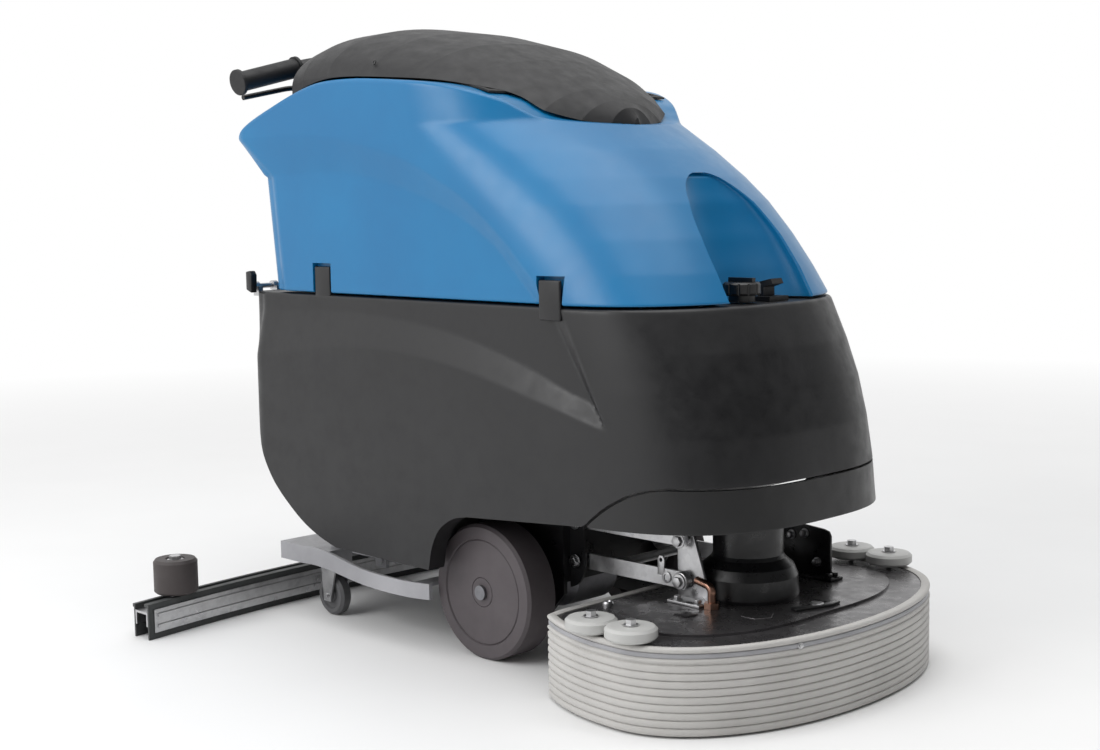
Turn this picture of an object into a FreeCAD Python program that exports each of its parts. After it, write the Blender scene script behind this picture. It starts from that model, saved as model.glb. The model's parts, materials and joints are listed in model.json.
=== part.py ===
import FreeCAD, Part

import math
import os

from FreeCAD import Vector

# Walk-behind floor scrubber. Millimetres, +X forward, +Y to the machine's left, +Z up, floor at z = 0.
# Every shape is drawn with the drive axle at x = 0 and is moved by AXLE_X when it is saved, so that the
# origin is the middle of the footprint.
AXLE_X = 16.3

# Driving sizes.
HALF_WIDTH = 281.0          # half the width of the body and of the recovery tank
JOINT_Z = 610.0             # level where the recovery tank sits on the body
JOINT_GAP = 4.0
WALL = 6.0
REAR_CORNER = 45.0          # radius of the vertical rear corners
WHEEL_RADIUS = 116.25
WHEEL_OUTER_Y = 227.0
WHEEL_WIDTH = 65.0
DECK_CENTRE_X = 419.4
DECK_TOP_Z = 132.0
SKIRT_BOTTOM_Z = 3.0
BRUSH_RADIUS = 158.0
BRUSH_Y = 166.0
SQUEEGEE_RADIUS = 2945.0    # plan radius of the squeegee's curve
SQUEEGEE_FRONT_X = -582.0   # front blade at the middle
SQUEEGEE_HALF = 549.0
RUNNING_GAP = 0.05          # radial clearance of a shaft in its hole

# Levels of the body: height, nose, start of the nose curve, exponent of the curve.
BODY_LEVELS = [
    (140.0, 546.0, 250.0, 2.8),
    (281.0, 546.0, 250.0, 2.8),
    (351.0, 539.0, 245.0, 2.8),
    (419.0, 529.0, 235.0, 2.75),
    (483.0, 513.0, 225.0, 2.7),
    (542.0, 490.0, 212.0, 2.65),
    (610.0, 455.0, 200.0, 2.6),
]
# Levels of the recovery tank, in the same order.
TANK_LEVELS = [
    (610.0, 453.0, 200.0, 2.6),
    (660.0, 427.0, 149.0, 2.5),
    (713.0, 393.0, 94.0, 2.39),
    (767.0, 349.0, 39.0, 2.28),
    (808.0, 303.0, -3.0, 2.19),
    (854.0, 239.0, -50.0, 2.1),
    (903.0, 158.0, -100.0, 2.0),
    (1000.0, 110.0, -120.0, 2.0),
]
NOSE_STEPS = 14
# Rear edge of the recovery tank in side view, from the top down, and the curve of its top edge.
TANK_REAR = [(-622.0, 893.0), (-545.0, 823.0), (-520.0, 614.0)]
TANK_RIM = [
    (-622.0, 893.0), (-560.0, 925.0), (-478.0, 953.0), (-406.0, 974.0), (-340.0, 986.0), (-250.0, 987.0),
    (-150.0, 980.0), (-60.0, 971.0), (-5.0, 960.0), (52.0, 941.0), (83.0, 921.0), (115.0, 904.0), (200.0, 892.0),
]
# Arch-shaped recess in the middle of the tank's front.
RECESS_HALF = 103.0
RECESS_HEIGHT = 208.0
RECESS_DEPTH = 72.0
# Lid: station along x, half width, crown height.
LID_STATIONS = [
    (-444.0, 262.0, 1079.0), (-400.0, 270.0, 1087.0), (-320.0, 274.0, 1089.0), (-207.0, 275.0, 1073.0),
    (-100.0, 272.0, 1047.0), (-20.0, 256.0, 1014.0), (44.0, 226.0, 982.0), (90.0, 185.0, 959.0),
    (125.0, 126.0, 938.0), (146.0, 70.0, 925.0),
]
LID_LIFT = 3.5              # seal height under the lid
# Deck rim: a superellipse about the deck's centre, shallower in front than behind.
DECK_HALF_WIDTH = 350.0
DECK_FRONT_REACH = 206.0
DECK_REAR_REACH = 340.0
DECK_SQUARENESS = 2.1
DECK_REAR_X = 232.0         # straight rear edge
LINK_REAR = (112.0, 168.0)  # x, z of the lower link's pivot on the chassis
LINK_FRONT = (341.0, 168.0)
LINK_RISE = 66.0            # upper link above the lower link
LINK_Y = 100.0
TILT_PIVOT = (-604.0, 618.0)    # x, z of the pins on which the recovery tank tips back
LID_PIVOT = (282.0, 996.0)      # y, z of the lid's hinge line
LID_HINGES = (-400.0, -300.0)
ARM_Y = 50.0                # the two bars of the squeegee's lift arm


def box(x0, x1, y0, y1, z0, z1):
    return Part.makeBox(x1 - x0, y1 - y0, z1 - z0, Vector(x0, y0, z0))


def rod(radius, length, x, y, z, axis):
    """Cylinder that starts at (x, y, z) and runs along axis."""
    return Part.makeCylinder(radius, length, Vector(x, y, z), Vector(*axis))


def cross_rod(radius, x, z, y0, y1):
    return rod(radius, y1 - y0, x, y0, z, (0, 1, 0))


def upright(radius, x, y, z0, z1):
    return rod(radius, z1 - z0, x, y, z0, (0, 0, 1))


def edge(points):
    """Straight edge through two points, or a smooth curve through more."""
    if len(points) == 2:
        return Part.LineSegment(points[0], points[1]).toShape()
    curve = Part.BSplineCurve()
    curve.interpolate(points)
    return curve.toShape()


def side_slab(y0, y1, *runs):
    """Closed side-view outline of (x, z) runs, drawn at y0 and extruded to y1."""
    edges = [edge([Vector(x, y0, z) for x, z in run]) for run in runs]
    return Part.Face(Part.Wire(edges)).extrude(Vector(0, y1 - y0, 0))


def plan_slab(z0, z1, points):
    corners = [Vector(x, y, z0) for x, y in points]
    return Part.Face(Part.makePolygon(corners + corners[:1])).extrude(Vector(0, 0, z1 - z0))


def turned(centre_x, centre_y, profile):
    """Solid of revolution about a vertical axis from a closed (radius, z) profile."""
    corners = [Vector(centre_x + r, centre_y, z) for r, z in profile]
    face = Part.Face(Part.makePolygon(corners + corners[:1]))
    return face.revolve(Vector(centre_x, centre_y, 0), Vector(0, 0, 1), 360)


def turned_across(centre_x, centre_z, profile):
    """Solid of revolution about a crosswise axis from a closed (radius, y) profile."""
    corners = [Vector(centre_x + r, y, centre_z) for r, y in profile]
    face = Part.Face(Part.makePolygon(corners + corners[:1]))
    return face.revolve(Vector(centre_x, 0, centre_z), Vector(0, 1, 0), 360)


def tube_along(points, radius, bore=0.0):
    """Round tube along straight runs joined by tangent arcs."""
    path = [Vector(*p) for p in points]
    edges = []
    start = path[0]
    for before, corner, after in zip(path, path[1:], path[2:]):
        into = (corner - before).normalize()
        out = (after - corner).normalize()
        reach = 0.4 * min((corner - before).Length, (after - corner).Length)
        arc_in = corner - into * reach
        arc_out = corner + out * reach
        centre_line = (arc_in + arc_out) * 0.5
        half_turn = into.getAngle(out) / 2
        bend_radius = reach / math.tan(half_turn)
        sagitta = bend_radius * (1 - math.cos(half_turn))
        middle = centre_line + (corner - centre_line).normalize() * sagitta
        edges.append(Part.LineSegment(start, arc_in).toShape())
        edges.append(Part.Arc(arc_in, middle, arc_out).toShape())
        start = arc_out
    edges.append(Part.LineSegment(start, path[-1]).toShape())
    spine = Part.Wire(edges)
    direction = (path[1] - path[0]).normalize()

    def swept(r):
        ring = Part.Wire(Part.Circle(path[0], direction, r).toShape())
        return spine.makePipeShell([ring], True, False, 2)

    return swept(radius).cut(swept(bore)) if bore else swept(radius)


def rounded(shape, radius, wanted):
    """Fillets the edges for which wanted(edge) is true."""
    return shape.makeFillet(radius, [e for e in shape.Edges if wanted(e)])


def fuse(shapes):
    joined = shapes[0].multiFuse(shapes[1:])
    return joined.removeSplitter()


def mirrored(shape):
    return shape.mirror(Vector(0, 0, 0), Vector(0, 1, 0))


def both_sides(shape):
    return Part.makeCompound([shape, mirrored(shape)])


def save(name, shape):
    placed = shape.copy()
    placed.translate(Vector(AXLE_X, 0, 0))
    placed.exportStep(os.path.join("parts", name + ".step"))
    solids = placed.Solids
    print(name, len(solids), "solids", round(placed.Volume / 1000, 1), "cm3", "valid" if placed.isValid() else "BAD")
    LIMITS.append(placed.BoundBox)


LIMITS = []


# Shells of the body and the tank.

def nose_point(angle, level, inset=0.0):
    """Point of a level's superelliptic nose, from angle -90 degrees (right side) to 90 (left side)."""
    height, front, start, power = level
    width = HALF_WIDTH - inset
    reach = front - inset - start
    x = start + reach * abs(math.cos(angle)) ** (2 / power)
    y = math.copysign(width * abs(math.sin(angle)) ** (2 / power), angle)
    return Vector(x, y, height)


def plan_wire(level, rear, inset=0.0):
    height, _, start, _ = level
    width = HALF_WIDTH - inset
    corner = REAR_CORNER - inset
    back = rear + inset
    nose = [nose_point(math.pi * (i / NOSE_STEPS - 0.5), level, inset) for i in range(1, NOSE_STEPS)]
    right = Vector(start, -width, height)
    left = Vector(start, width, height)
    cut = corner * (1 - math.sqrt(0.5))
    return Part.Wire([
        edge([right] + nose + [left]),
        edge([left, Vector(back + corner, width, height)]),
        Part.Arc(Vector(back + corner, width, height), Vector(back + cut, width - cut, height),
                 Vector(back, width - corner, height)).toShape(),
        edge([Vector(back, width - corner, height), Vector(back, corner - width, height)]),
        Part.Arc(Vector(back, corner - width, height), Vector(back + cut, cut - width, height),
                 Vector(back + corner, -width, height)).toShape(),
        edge([Vector(back + corner, -width, height), right]),
    ])


def plan_loft(levels, rear, inset=0.0):
    return Part.makeLoft([plan_wire(level, rear, inset) for level in levels], True, True)


def level_at(levels, z):
    for low, high in zip(levels, levels[1:]):
        if z <= high[0]:
            share = (z - low[0]) / (high[0] - low[0])
            return tuple(a + (b - a) * share for a, b in zip(low, high))
    return levels[-1]


def surface_x(levels, y, z):
    """x of the nose surface at a given side offset and height."""
    _, front, start, power = level_at(levels, z)
    return start + (front - start) * (1 - abs(y / HALF_WIDTH) ** power) ** (1 / power)


FASCIA_CURVE = [(299.0, 281.0), (318.0, 297.0), (345.0, 316.0), (386.0, 337.0), (434.0, 348.0)]
FASCIA_GAP = 4.0


def solution_tank():
    """Black lower body: a blow-moulded tank with wheel wells, a battery room and four locating tabs."""
    tail = [(-330.0, 155.0), (-379.0, 169.0), (-429.0, 191.0), (-481.0, 226.0), (-518.0, 259.0),
            (-546.0, 300.0), (-562.0, 341.0), (-572.0, 400.0), (-586.0, 500.0), (-584.0, 610.0)]
    arch = [(27.0, 257.0), (-9.0, 249.0), (-44.0, 226.0), (-64.0, 192.0), (-73.0, 153.0)]
    outer = side_slab(
        -300.0, 300.0,
        tail,
        [(-584.0, JOINT_Z), (700.0, JOINT_Z)],
        [(700.0, JOINT_Z), (700.0, 348.0)],
        [(700.0, 348.0), (434.0, 348.0)],
        FASCIA_CURVE[::-1],
        [(299.0, 281.0), (290.0, 276.0)],
        [(290.0, 276.0), (27.0, 257.0)],
        arch,
        [(-73.0, 153.0), (-330.0, 155.0)],
    )
    shell = plan_loft(BODY_LEVELS, -587.0).common(outer)
    hollow = side_slab(
        -300.0, 300.0,
        [(-575.0, 600.0), (-573.0, 480.0), (-555.0, 360.0), (-532.0, 300.0), (-470.0, 232.0),
         (-405.0, BATTERY_FLOOR)],
        [(-405.0, BATTERY_FLOOR), (-148.0, BATTERY_FLOOR)],
        [(-148.0, BATTERY_FLOOR), (-148.0, 272.0)],
        [(-148.0, 272.0), (280.0, 288.0)],
        [(280.0, 288.0), (400.0, 356.0)],
        [(400.0, 356.0), (700.0, 356.0)],
        [(700.0, 356.0), (700.0, 600.0)],
        [(700.0, 600.0), (-575.0, 600.0)],
    )
    shell = shell.cut(plan_loft(BODY_LEVELS, -587.0, WALL).common(hollow))
    hatch = box(-440.0, 330.0, -200.0, 200.0, 590.0, 620.0)
    shell = shell.cut(hatch)
    for side in (-1, 1):
        low, high = sorted((side * 150.0, side * 246.0))
        shell = shell.cut(cross_rod(134.0, 0.0, WHEEL_RADIUS, low, high))
    tabs = []
    for x0, x1, top in ((-391.0, -347.0, 661.0), (203.0, 250.0, 653.0)):
        for side in (-1, 1):
            low, high = sorted((side * 270.0, side * 280.0))
            tabs.append(rounded(box(x0, x1, low, high, 600.0, top), 6.0,
                                lambda e: abs(e.BoundBox.ZMin - e.BoundBox.ZMax) < 0.1
                                and e.BoundBox.ZMin > 640 and e.BoundBox.YLength > 5))
    return fuse([shell, filler_neck(), pedal_bracket()] + tabs)


def front_fascia():
    """Bumper moulding under the body's front, with a wall thickness of its own."""
    gap = FASCIA_GAP
    upper = [(x + 0.6 * gap, z - gap) for x, z in FASCIA_CURVE]
    outer = side_slab(
        -300.0, 300.0,
        upper,
        [upper[-1], (700.0, upper[-1][1])],
        [(700.0, upper[-1][1]), (700.0, 281.0)],
        [(700.0, 281.0), (upper[0][0] + 3.0, 277.0)],
        [(upper[0][0] + 3.0, 277.0), upper[0]],
    )
    hollow = box(200.0, 700.0, -300.0, 300.0, 270.0, 360.0)
    inner = plan_loft(BODY_LEVELS, -587.0, 8.0).common(hollow)
    return plan_loft(BODY_LEVELS, -587.0).common(outer).cut(inner)


def rim_slab(lift, depth):
    """Slab that follows the tank's top edge, from lift above it down by depth."""
    top = [(x, z + lift) for x, z in TANK_RIM]
    bottom = [(x, z - depth) for x, z in top]
    return side_slab(-300.0, 300.0, top, [top[-1], bottom[-1]], bottom[::-1], [bottom[0], top[0]])


def recess():
    """Arch-shaped scoop in the middle of the tank's front, cut level by level."""
    wires = []
    for share in (0.0, 0.2, 0.4, 0.6, 0.75, 0.87, 0.95, 0.99):
        z = JOINT_Z - 2.0 + share * RECESS_HEIGHT
        half = RECESS_HALF * math.sqrt(1 - share ** 3)
        depth = RECESS_DEPTH * (1 - share ** 2)
        rim_x = surface_x(TANK_LEVELS, half, z) + 2.0
        back = [Vector(rim_x - (depth + 4.0) * math.cos(a), half * math.sin(a), z)
                for a in (math.pi * (i / 8 - 0.5) for i in range(9))]
        far = rim_x + 90.0
        wires.append(Part.Wire([
            edge(back),
            edge([back[-1], Vector(far, half, z)]),
            edge([Vector(far, half, z), Vector(far, -half, z)]),
            edge([Vector(far, -half, z), back[0]]),
        ]))
    return Part.makeLoft(wires, True, True)


def recovery_tank():
    """Blue upper tank with overhanging rear shoulders, side panels set in and a front recess."""
    floor_z = JOINT_Z + JOINT_GAP
    outline = side_slab(
        -300.0, 300.0,
        TANK_RIM,
        [TANK_RIM[-1], (700.0, 760.0)],
        [(700.0, 760.0), (700.0, floor_z)],
        [(700.0, floor_z), (-520.0, floor_z)],
        [(-520.0, floor_z), TANK_REAR[1]],
        [TANK_REAR[1], TANK_REAR[0]],
    )
    tank = plan_loft(TANK_LEVELS, -622.0).common(outline)
    cavity = side_slab(
        -300.0, 300.0,
        [(-600.0, 893.0), (-478.0, 944.0), (-340.0, 976.0), (-150.0, 970.0), (0.0, 948.0), (110.0, 895.0)],
        [(110.0, 895.0), (200.0, 880.0)],
        [(200.0, 880.0), (600.0, 640.0)],
        [(600.0, 640.0), (-508.0, 640.0)],
        [(-508.0, 640.0), (-534.0, 826.0)],
        [(-534.0, 826.0), (-600.0, 893.0)],
    )
    scoop = recess()
    backing = box(240.0, 700.0, -RECESS_HALF - 14.0, RECESS_HALF + 14.0, 600.0, 840.0)
    tank = tank.cut(plan_loft(TANK_LEVELS, -622.0, 24.0).common(cavity).cut(backing))
    tank = tank.cut(scoop)
    panel_arc = [(-545.0, 823.0), (-393.0, 826.0), (-305.0, 824.0), (-202.0, 811.0), (-106.0, 788.0), (-22.0, 760.0),
                 (43.0, 731.0), (104.0, 692.0), (149.0, 651.0), (182.0, 610.0)]
    for side in (-1, 1):
        low, high = sorted((side * (HALF_WIDTH - 15.0), side * 300.0))
        panel = side_slab(low, high, panel_arc, [panel_arc[-1], (-560.0, 610.0)],
                          [(-560.0, 610.0), panel_arc[0]])
        tank = tank.cut(panel)
        notch_low, notch_high = sorted((side * 262.0, side * 300.0))
        tank = tank.cut(box(-394.0, -341.0, notch_low, notch_high, 600.0, 667.0))
        tank = tank.cut(box(200.0, 254.0, notch_low, notch_high, 600.0, 659.0))
    opening = box(-400.0, 10.0, -195.0, 195.0, 900.0, 1000.0)
    tank = tank.cut(opening)
    for piece in tilt_ears() + lid_hinges() + [drain_port()]:
        tank = tank.fuse(piece)
    return tank.cut(rod(20.0 + RUNNING_GAP, 40.0, -502.0, -150.0, 690.0, (-1, 0, 0)))


def lid_seal():
    ring = box(-420.0, 30.0, -215.0, 215.0, 850.0, 1010.0).cut(box(-408.0, 18.0, -203.0, 203.0, 840.0, 1020.0))
    return rim_slab(LID_LIFT - 0.4, LID_LIFT - 0.4).common(ring)


def lid_wire(station, inset=0.0):
    x, half, crown = station
    base = 770.0
    half -= inset
    crown -= inset
    shoulder = crown - 95.0
    dome = []
    for i in range(13):
        a = math.pi * (i / 12 - 0.5)
        y = half * math.copysign(abs(math.sin(a)) ** 0.9, a)
        dome.append(Vector(x, y, shoulder + 95.0 * abs(math.cos(a)) ** 1.1))
    return Part.Wire([
        edge([Vector(x, -half, base), dome[0]]),
        edge(dome),
        edge([dome[-1], Vector(x, half, base)]),
        edge([Vector(x, half, base), Vector(x, -half, base)]),
    ])


def tank_lid():
    """Domed lid that closes the recovery tank."""
    tip = (160.0, 12.0, 908.0)
    outer = Part.makeLoft([lid_wire(s) for s in LID_STATIONS + [tip]], True, True)
    inner = Part.makeLoft([lid_wire(s, WALL) for s in
                           [(LID_STATIONS[0][0] + WALL,) + LID_STATIONS[0][1:]] + LID_STATIONS[1:-1]], True, True)
    below = side_slab(-300.0, 300.0, [(x, z + LID_LIFT) for x, z in TANK_RIM],
                      [(TANK_RIM[-1][0], TANK_RIM[-1][1] + LID_LIFT), (240.0, 880.0)],
                      [(240.0, 880.0), (240.0, 800.0)], [(240.0, 800.0), (-622.0, 800.0)],
                      [(-622.0, 800.0), (-622.0, TANK_RIM[0][1] + LID_LIFT)])
    lid = max(outer.cut(inner).cut(below).Solids, key=lambda s: s.Volume)
    y, z = LID_PIVOT
    knuckles = []
    for x in LID_HINGES:
        knuckle = fuse([rod(6.0, 31.0, x - 15.5, y, z, (1, 0, 0)), box(x - 15.5, x + 15.5, 264.0, y, z - 3.0, z + 3.0)])
        knuckles.append(knuckle.cut(rod(3.0 + RUNNING_GAP, 40.0, x - 20.0, y, z, (1, 0, 0))))
    return fuse([lid] + knuckles)


CONSOLE_REAR = -592.0


def rear_console():
    """Dark control console behind the lid, with a sloping rear face for the panel."""
    outline = side_slab(
        -105.0, 105.0,
        [(CONSOLE_REAR, 917.0), (-520.0, 946.0), (-449.0, 967.0)],
        [(-449.0, 967.0), (-449.0, 1046.0)],
        [(-449.0, 1046.0), (-500.0, 1050.0), (-540.0, 1040.0)],
        [(-540.0, 1040.0), (CONSOLE_REAR, 980.0)],
        [(CONSOLE_REAR, 980.0), (CONSOLE_REAR, 917.0)],
    )
    outline = rounded(outline, 9.0, lambda e: abs(e.CenterOfMass.y) > 104 and e.CenterOfMass.z > 975)
    room = box(-575.0, -465.0, -88.0, 88.0, 975.0, 1022.0).cut(
        box(-620.0, -530.0, -88.0, 88.0, 1002.0, 1030.0))
    return outline.cut(room)


# The panel lies on the console's sloping face: its own axes run up the slope and out of it.
PANEL_FOOT = Vector(CONSOLE_REAR, 0, 980.0)
PANEL_TOP = Vector(-540.0, 0, 1040.0)
UP_SLOPE = (PANEL_TOP - PANEL_FOOT).normalize()
OUT_OF_SLOPE = Vector(-UP_SLOPE.z, 0, UP_SLOPE.x)


def on_panel(y, along, out):
    return PANEL_FOOT + UP_SLOPE * along + OUT_OF_SLOPE * out + Vector(0, y, 0)


def panel_block(y0, y1, a0, a1, o0, o1):
    corners = [on_panel(y0, a, o) for a, o in ((a0, o0), (a1, o0), (a1, o1), (a0, o1))]
    return Part.Face(Part.makePolygon(corners + corners[:1])).extrude(Vector(0, y1 - y0, 0))


def panel_rod(radius, y, along, o0, o1):
    return Part.makeCylinder(radius, o1 - o0, on_panel(y, along, o0), OUT_OF_SLOPE)


BUTTON_Y = (-6.0, 14.0, 34.0)
BUTTON_ALONG = 22.0
KEY_Y = 62.0
KNOB_Y = -52.0
PANEL_THICK = 4.0


def control_panel():
    plate = panel_block(-90.0, 90.0, 4.0, 74.0, 0.0, PANEL_THICK)
    for y in BUTTON_Y:
        plate = plate.cut(panel_rod(7.5, y, BUTTON_ALONG, -1.0, 6.0))
    plate = plate.cut(panel_rod(6.0 + RUNNING_GAP, KEY_Y, BUTTON_ALONG, -1.0, 6.0))
    plate = plate.cut(panel_rod(5.0 + RUNNING_GAP, KNOB_Y, 40.0, -1.0, 6.0))
    lens = panel_block(-20.0, 48.0, 42.0, 66.0, PANEL_THICK - 1.0, PANEL_THICK + 2.0)
    return fuse([plate, lens])


def push_button(y):
    stem = panel_rod(7.0, y, BUTTON_ALONG, 1.5, 8.0)
    return stem


def key_switch():
    barrel = panel_rod(6.0, KEY_Y, BUTTON_ALONG, 0.5, PANEL_THICK)
    flange = panel_rod(10.0, KEY_Y, BUTTON_ALONG, PANEL_THICK + 0.4, PANEL_THICK + 4.0)
    blade = panel_block(KEY_Y - 1.25, KEY_Y + 1.25, BUTTON_ALONG - 9.0, BUTTON_ALONG + 9.0,
                        PANEL_THICK + 3.0, PANEL_THICK + 24.0)
    link = panel_rod(6.0, KEY_Y, BUTTON_ALONG, PANEL_THICK, PANEL_THICK + 0.6)
    return fuse([barrel, link, flange, blade])


def flow_knob():
    stem = panel_rod(5.0, KNOB_Y, 40.0, 0.5, PANEL_THICK + 1.0)
    body = panel_rod(17.0, KNOB_Y, 40.0, PANEL_THICK + 0.5, PANEL_THICK + 16.0)
    body = body.makeFillet(2.5, [max(body.Edges, key=lambda e: (e.CenterOfMass - PANEL_FOOT).dot(OUT_OF_SLOPE))])
    mark = panel_block(KNOB_Y - 1.5, KNOB_Y + 1.5, 42.0, 58.0, PANEL_THICK + 14.0, PANEL_THICK + 18.0)
    return fuse([stem, body, mark])


HANDLE_RADIUS = 12.5
HANDLE_BEND = Vector(-562.0, 140.0, 1034.7)
DROOP = Vector(0.0, 158.0, -38.2).normalize()       # direction of the grip, outwards and down
GRIP_START = 24.0           # distances along the drooping run
BAR_END = 158.0
GRIP_END = 164.6
HANDLE_PATH = [(-470.0, 96.0, 1010.0), (-520.0, 106.0, 1040.0), HANDLE_BEND, HANDLE_BEND + DROOP * BAR_END]


def handlebar():
    """One bent steel tube per side, from the console out to the drooping grip."""
    right = tube_along(HANDLE_PATH, HANDLE_RADIUS)
    bar = rod(HANDLE_RADIUS, 192.0, -470.0, -96.0, 1010.0, (0, 1, 0))
    return fuse([right, mirrored(right), bar])


def handle_grips():
    """Moulded grips with an end flange, one on each side."""
    start = HANDLE_BEND + DROOP * GRIP_START
    end = HANDLE_BEND + DROOP * GRIP_END
    along = DROOP
    length = GRIP_END - GRIP_START
    sleeve = Part.makeCylinder(18.5, length, start, along)
    collar = Part.makeCylinder(24.0, 7.0, end - along * 7.0, along)
    ring = Part.makeCylinder(21.5, 6.0, start, along)
    grip = fuse([sleeve, collar, ring])
    grip = grip.makeFillet(2.0, [e for e in grip.Edges if (e.CenterOfMass - end).Length < 1 and e.Length > 100])
    bore = Part.makeCylinder(HANDLE_RADIUS, length - 3.0, start - along, along)
    return both_sides(grip.cut(bore))


LEVER_PIVOT = (-548.0, 1002.0)


def drive_lever():
    """Dead-man lever: a bail below the grips that turns on a pin through the console's sides."""
    x, z = LEVER_PIVOT
    pin = cross_rod(5.0, x, z, -112.0, 112.0)
    arm = tube_along([(x, 111.0, z), (x - 20.0, 116.0, z - 12.0), (x - 52.0, 150.0, z - 8.0),
                      (x - 52.0, 262.0, z - 30.0)], 5.0)
    return fuse([pin, arm, mirrored(arm)])


def console_with_lever_holes():
    x, z = LEVER_PIVOT
    shell = rear_console().cut(cross_rod(5.0 + RUNNING_GAP, x, z, -130.0, 130.0))
    shell = shell.cut(cross_rod(12.5 + RUNNING_GAP, -470.0, 1010.0, -130.0, 130.0))
    sweep = tube_along(HANDLE_PATH, HANDLE_RADIUS)
    return shell.cut(sweep).cut(mirrored(sweep))


VACUUM_X = -250.0


def vacuum_motor():
    """Suction turbine hung in the tank's roof, with its flange and inlet."""
    return turned(VACUUM_X, 0.0, [(0, 700), (52, 700), (58, 712), (58, 790), (70, 794), (70, 812), (44, 818),
                                  (44, 856), (30, 870), (0, 870)])


def float_cage():
    cage = upright(34.0, -90.0, 0.0, 740.0, 900.0).cut(upright(30.0, -90.0, 0.0, 744.0, 905.0))
    for turn in range(4):
        angle = math.radians(45 + 90 * turn)
        slot = box(-4.0, 4.0, 20.0, 45.0, 756.0, 872.0)
        slot.rotate(Vector(0, 0, 0), Vector(0, 0, 1), math.degrees(angle))
        slot.translate(Vector(-90.0, 0, 0))
        cage = cage.cut(slot)
    shelf = box(-130.0, -50.0, -60.0, 60.0, 900.0, 904.0)
    return fuse([cage, shelf.cut(upright(30.0, -90.0, 0.0, 890.0, 910.0))])


def float_ball():
    return Part.makeSphere(26.0, Vector(-90.0, 0, 772.0))


SUCTION_INLET = (-541.7, 150.0, 760.0)


def suction_inlet():
    """Rear spigot that takes the squeegee hose."""
    x, y, z = SUCTION_INLET
    back = (-1, 0, 0)
    flange = rod(34.0, 6.0, x, y, z, back)
    neck = rod(22.5, 52.0, x, y, z, back)
    return fuse([flange, neck]).cut(rod(19.0, 60.0, x + 2.0, y, z, back))


def drain_plug():
    """Screw plug of the dirty-water drain, low on the tank's back."""
    head = rod(27.0, 16.0, -539.4, -150.0, 690.0, (-1, 0, 0))
    head = head.makeFillet(3.0, [min(head.Edges, key=lambda e: e.CenterOfMass.x)])
    grip = box(-566.0, -554.0, -154.0, -146.0, 668.0, 712.0)
    return fuse([head, grip, rod(20.0, 12.0, -528.5, -150.0, 690.0, (-1, 0, 0))])


def drain_port():
    ring = rod(30.0, 26.0, -512.5, -150.0, 690.0, (-1, 0, 0))
    return ring.cut(rod(20.0 + RUNNING_GAP, 60.0, -500.0, -150.0, 690.0, (-1, 0, 0)))


# Chassis and running gear.

def chassis_frame():
    """Folded steel frame between the wheels, below the solution tank."""
    plate = box(-470.0, -90.0, -140.0, 140.0, 137.0, 145.0)
    sides = []
    for side in (-1, 1):
        low, high = sorted((side * 118.0, side * 126.0))
        cheek = side_slab(low, high, [(-200.0, 137.0), (-60.0, 60.0)], [(-60.0, 60.0), (50.0, 60.0)],
                          [(50.0, 60.0), (96.0, 110.0)], [(96.0, 110.0), (96.0, 246.0)],
                          [(96.0, 246.0), (27.0, 246.0)],
                          [(27.0, 246.0), (-9.0, 234.0), (-37.0, 210.0), (-54.0, 178.0), (-64.0, 147.0)],
                          [(-64.0, 147.0), (-200.0, 147.0)], [(-200.0, 147.0), (-200.0, 137.0)])
        sides.append(cheek.cut(cross_rod(30.0, 0.0, WHEEL_RADIUS, low - 1, high + 1)))
    beam = box(88.0, 96.0, -126.0, 126.0, 130.0, 246.0)
    shelf = box(30.0, 165.0, -60.0, 60.0, 246.0, 252.0)
    return fuse([plate, beam, shelf] + sides + link_brackets())


def link_brackets():
    """Uprights on the chassis beam that carry the rear pivots of the deck links."""
    x, z = LINK_REAR
    cheeks = []
    for side in (-1, 1):
        low, high = sorted((side * (LINK_Y + 5.0), side * (LINK_Y + 10.0)))
        cheek = side_slab(low, high, [(96.0, 120.0), (118.0, 132.0), (131.0, 190.0), (126.0, z + LINK_RISE + 14.0)],
                          [(126.0, z + LINK_RISE + 14.0), (96.0, z + LINK_RISE + 14.0)],
                          [(96.0, z + LINK_RISE + 14.0), (96.0, 120.0)])
        for pivot_z in (z, z + LINK_RISE):
            cheek = cheek.cut(cross_rod(6.0 + RUNNING_GAP, x, pivot_z, low - 1, high + 1))
        cheeks.append(cheek)
    return cheeks


def rear_frame():
    """Light grey painted support under the body's tail: a cross box and two side bars."""
    cross = box(-545.0, -470.0, -250.0, 250.0, 100.0, 133.0)
    cross = cross.cut(box(-541.0, -466.0, -246.0, 246.0, 96.0, 129.0))
    for side in (-1, 1):
        cross = cross.cut(box(-546.0, -540.0, side * ARM_Y - 8.0, side * ARM_Y + 8.0, 96.0, 116.0))
    bars = []
    for side in (-1, 1):
        low, high = sorted((side * 244.0, side * 250.0))
        bars.append(side_slab(
            low, high,
            [(-471.0, 133.0), (-400.0, 132.0), (-320.0, 118.0), (-230.0, 112.0), (-110.0, 117.0)],
            [(-110.0, 117.0), (-110.0, 89.0)],
            [(-110.0, 89.0), (-230.0, 84.0), (-320.0, 89.0), (-400.0, 99.0), (-471.0, 100.0)],
            [(-471.0, 100.0), (-471.0, 133.0)],
        ))
    deck = box(-490.0, -395.0, -246.0, 246.0, 129.0, 133.0)
    struts = [box(-180.0, -150.0, 118.0, 247.0, 100.0, 106.0), box(-180.0, -150.0, -247.0, -118.0, 100.0, 106.0)]
    frame = fuse([cross, deck] + bars + struts + caster_mounts() + arm_brackets())
    for side in (-1, 1):
        stem = upright(7.0 + RUNNING_GAP, CASTER_X + CASTER_TRAIL, side * CASTER_Y, 80.0, 142.5)
        frame = frame.cut(stem)
    return frame


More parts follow.
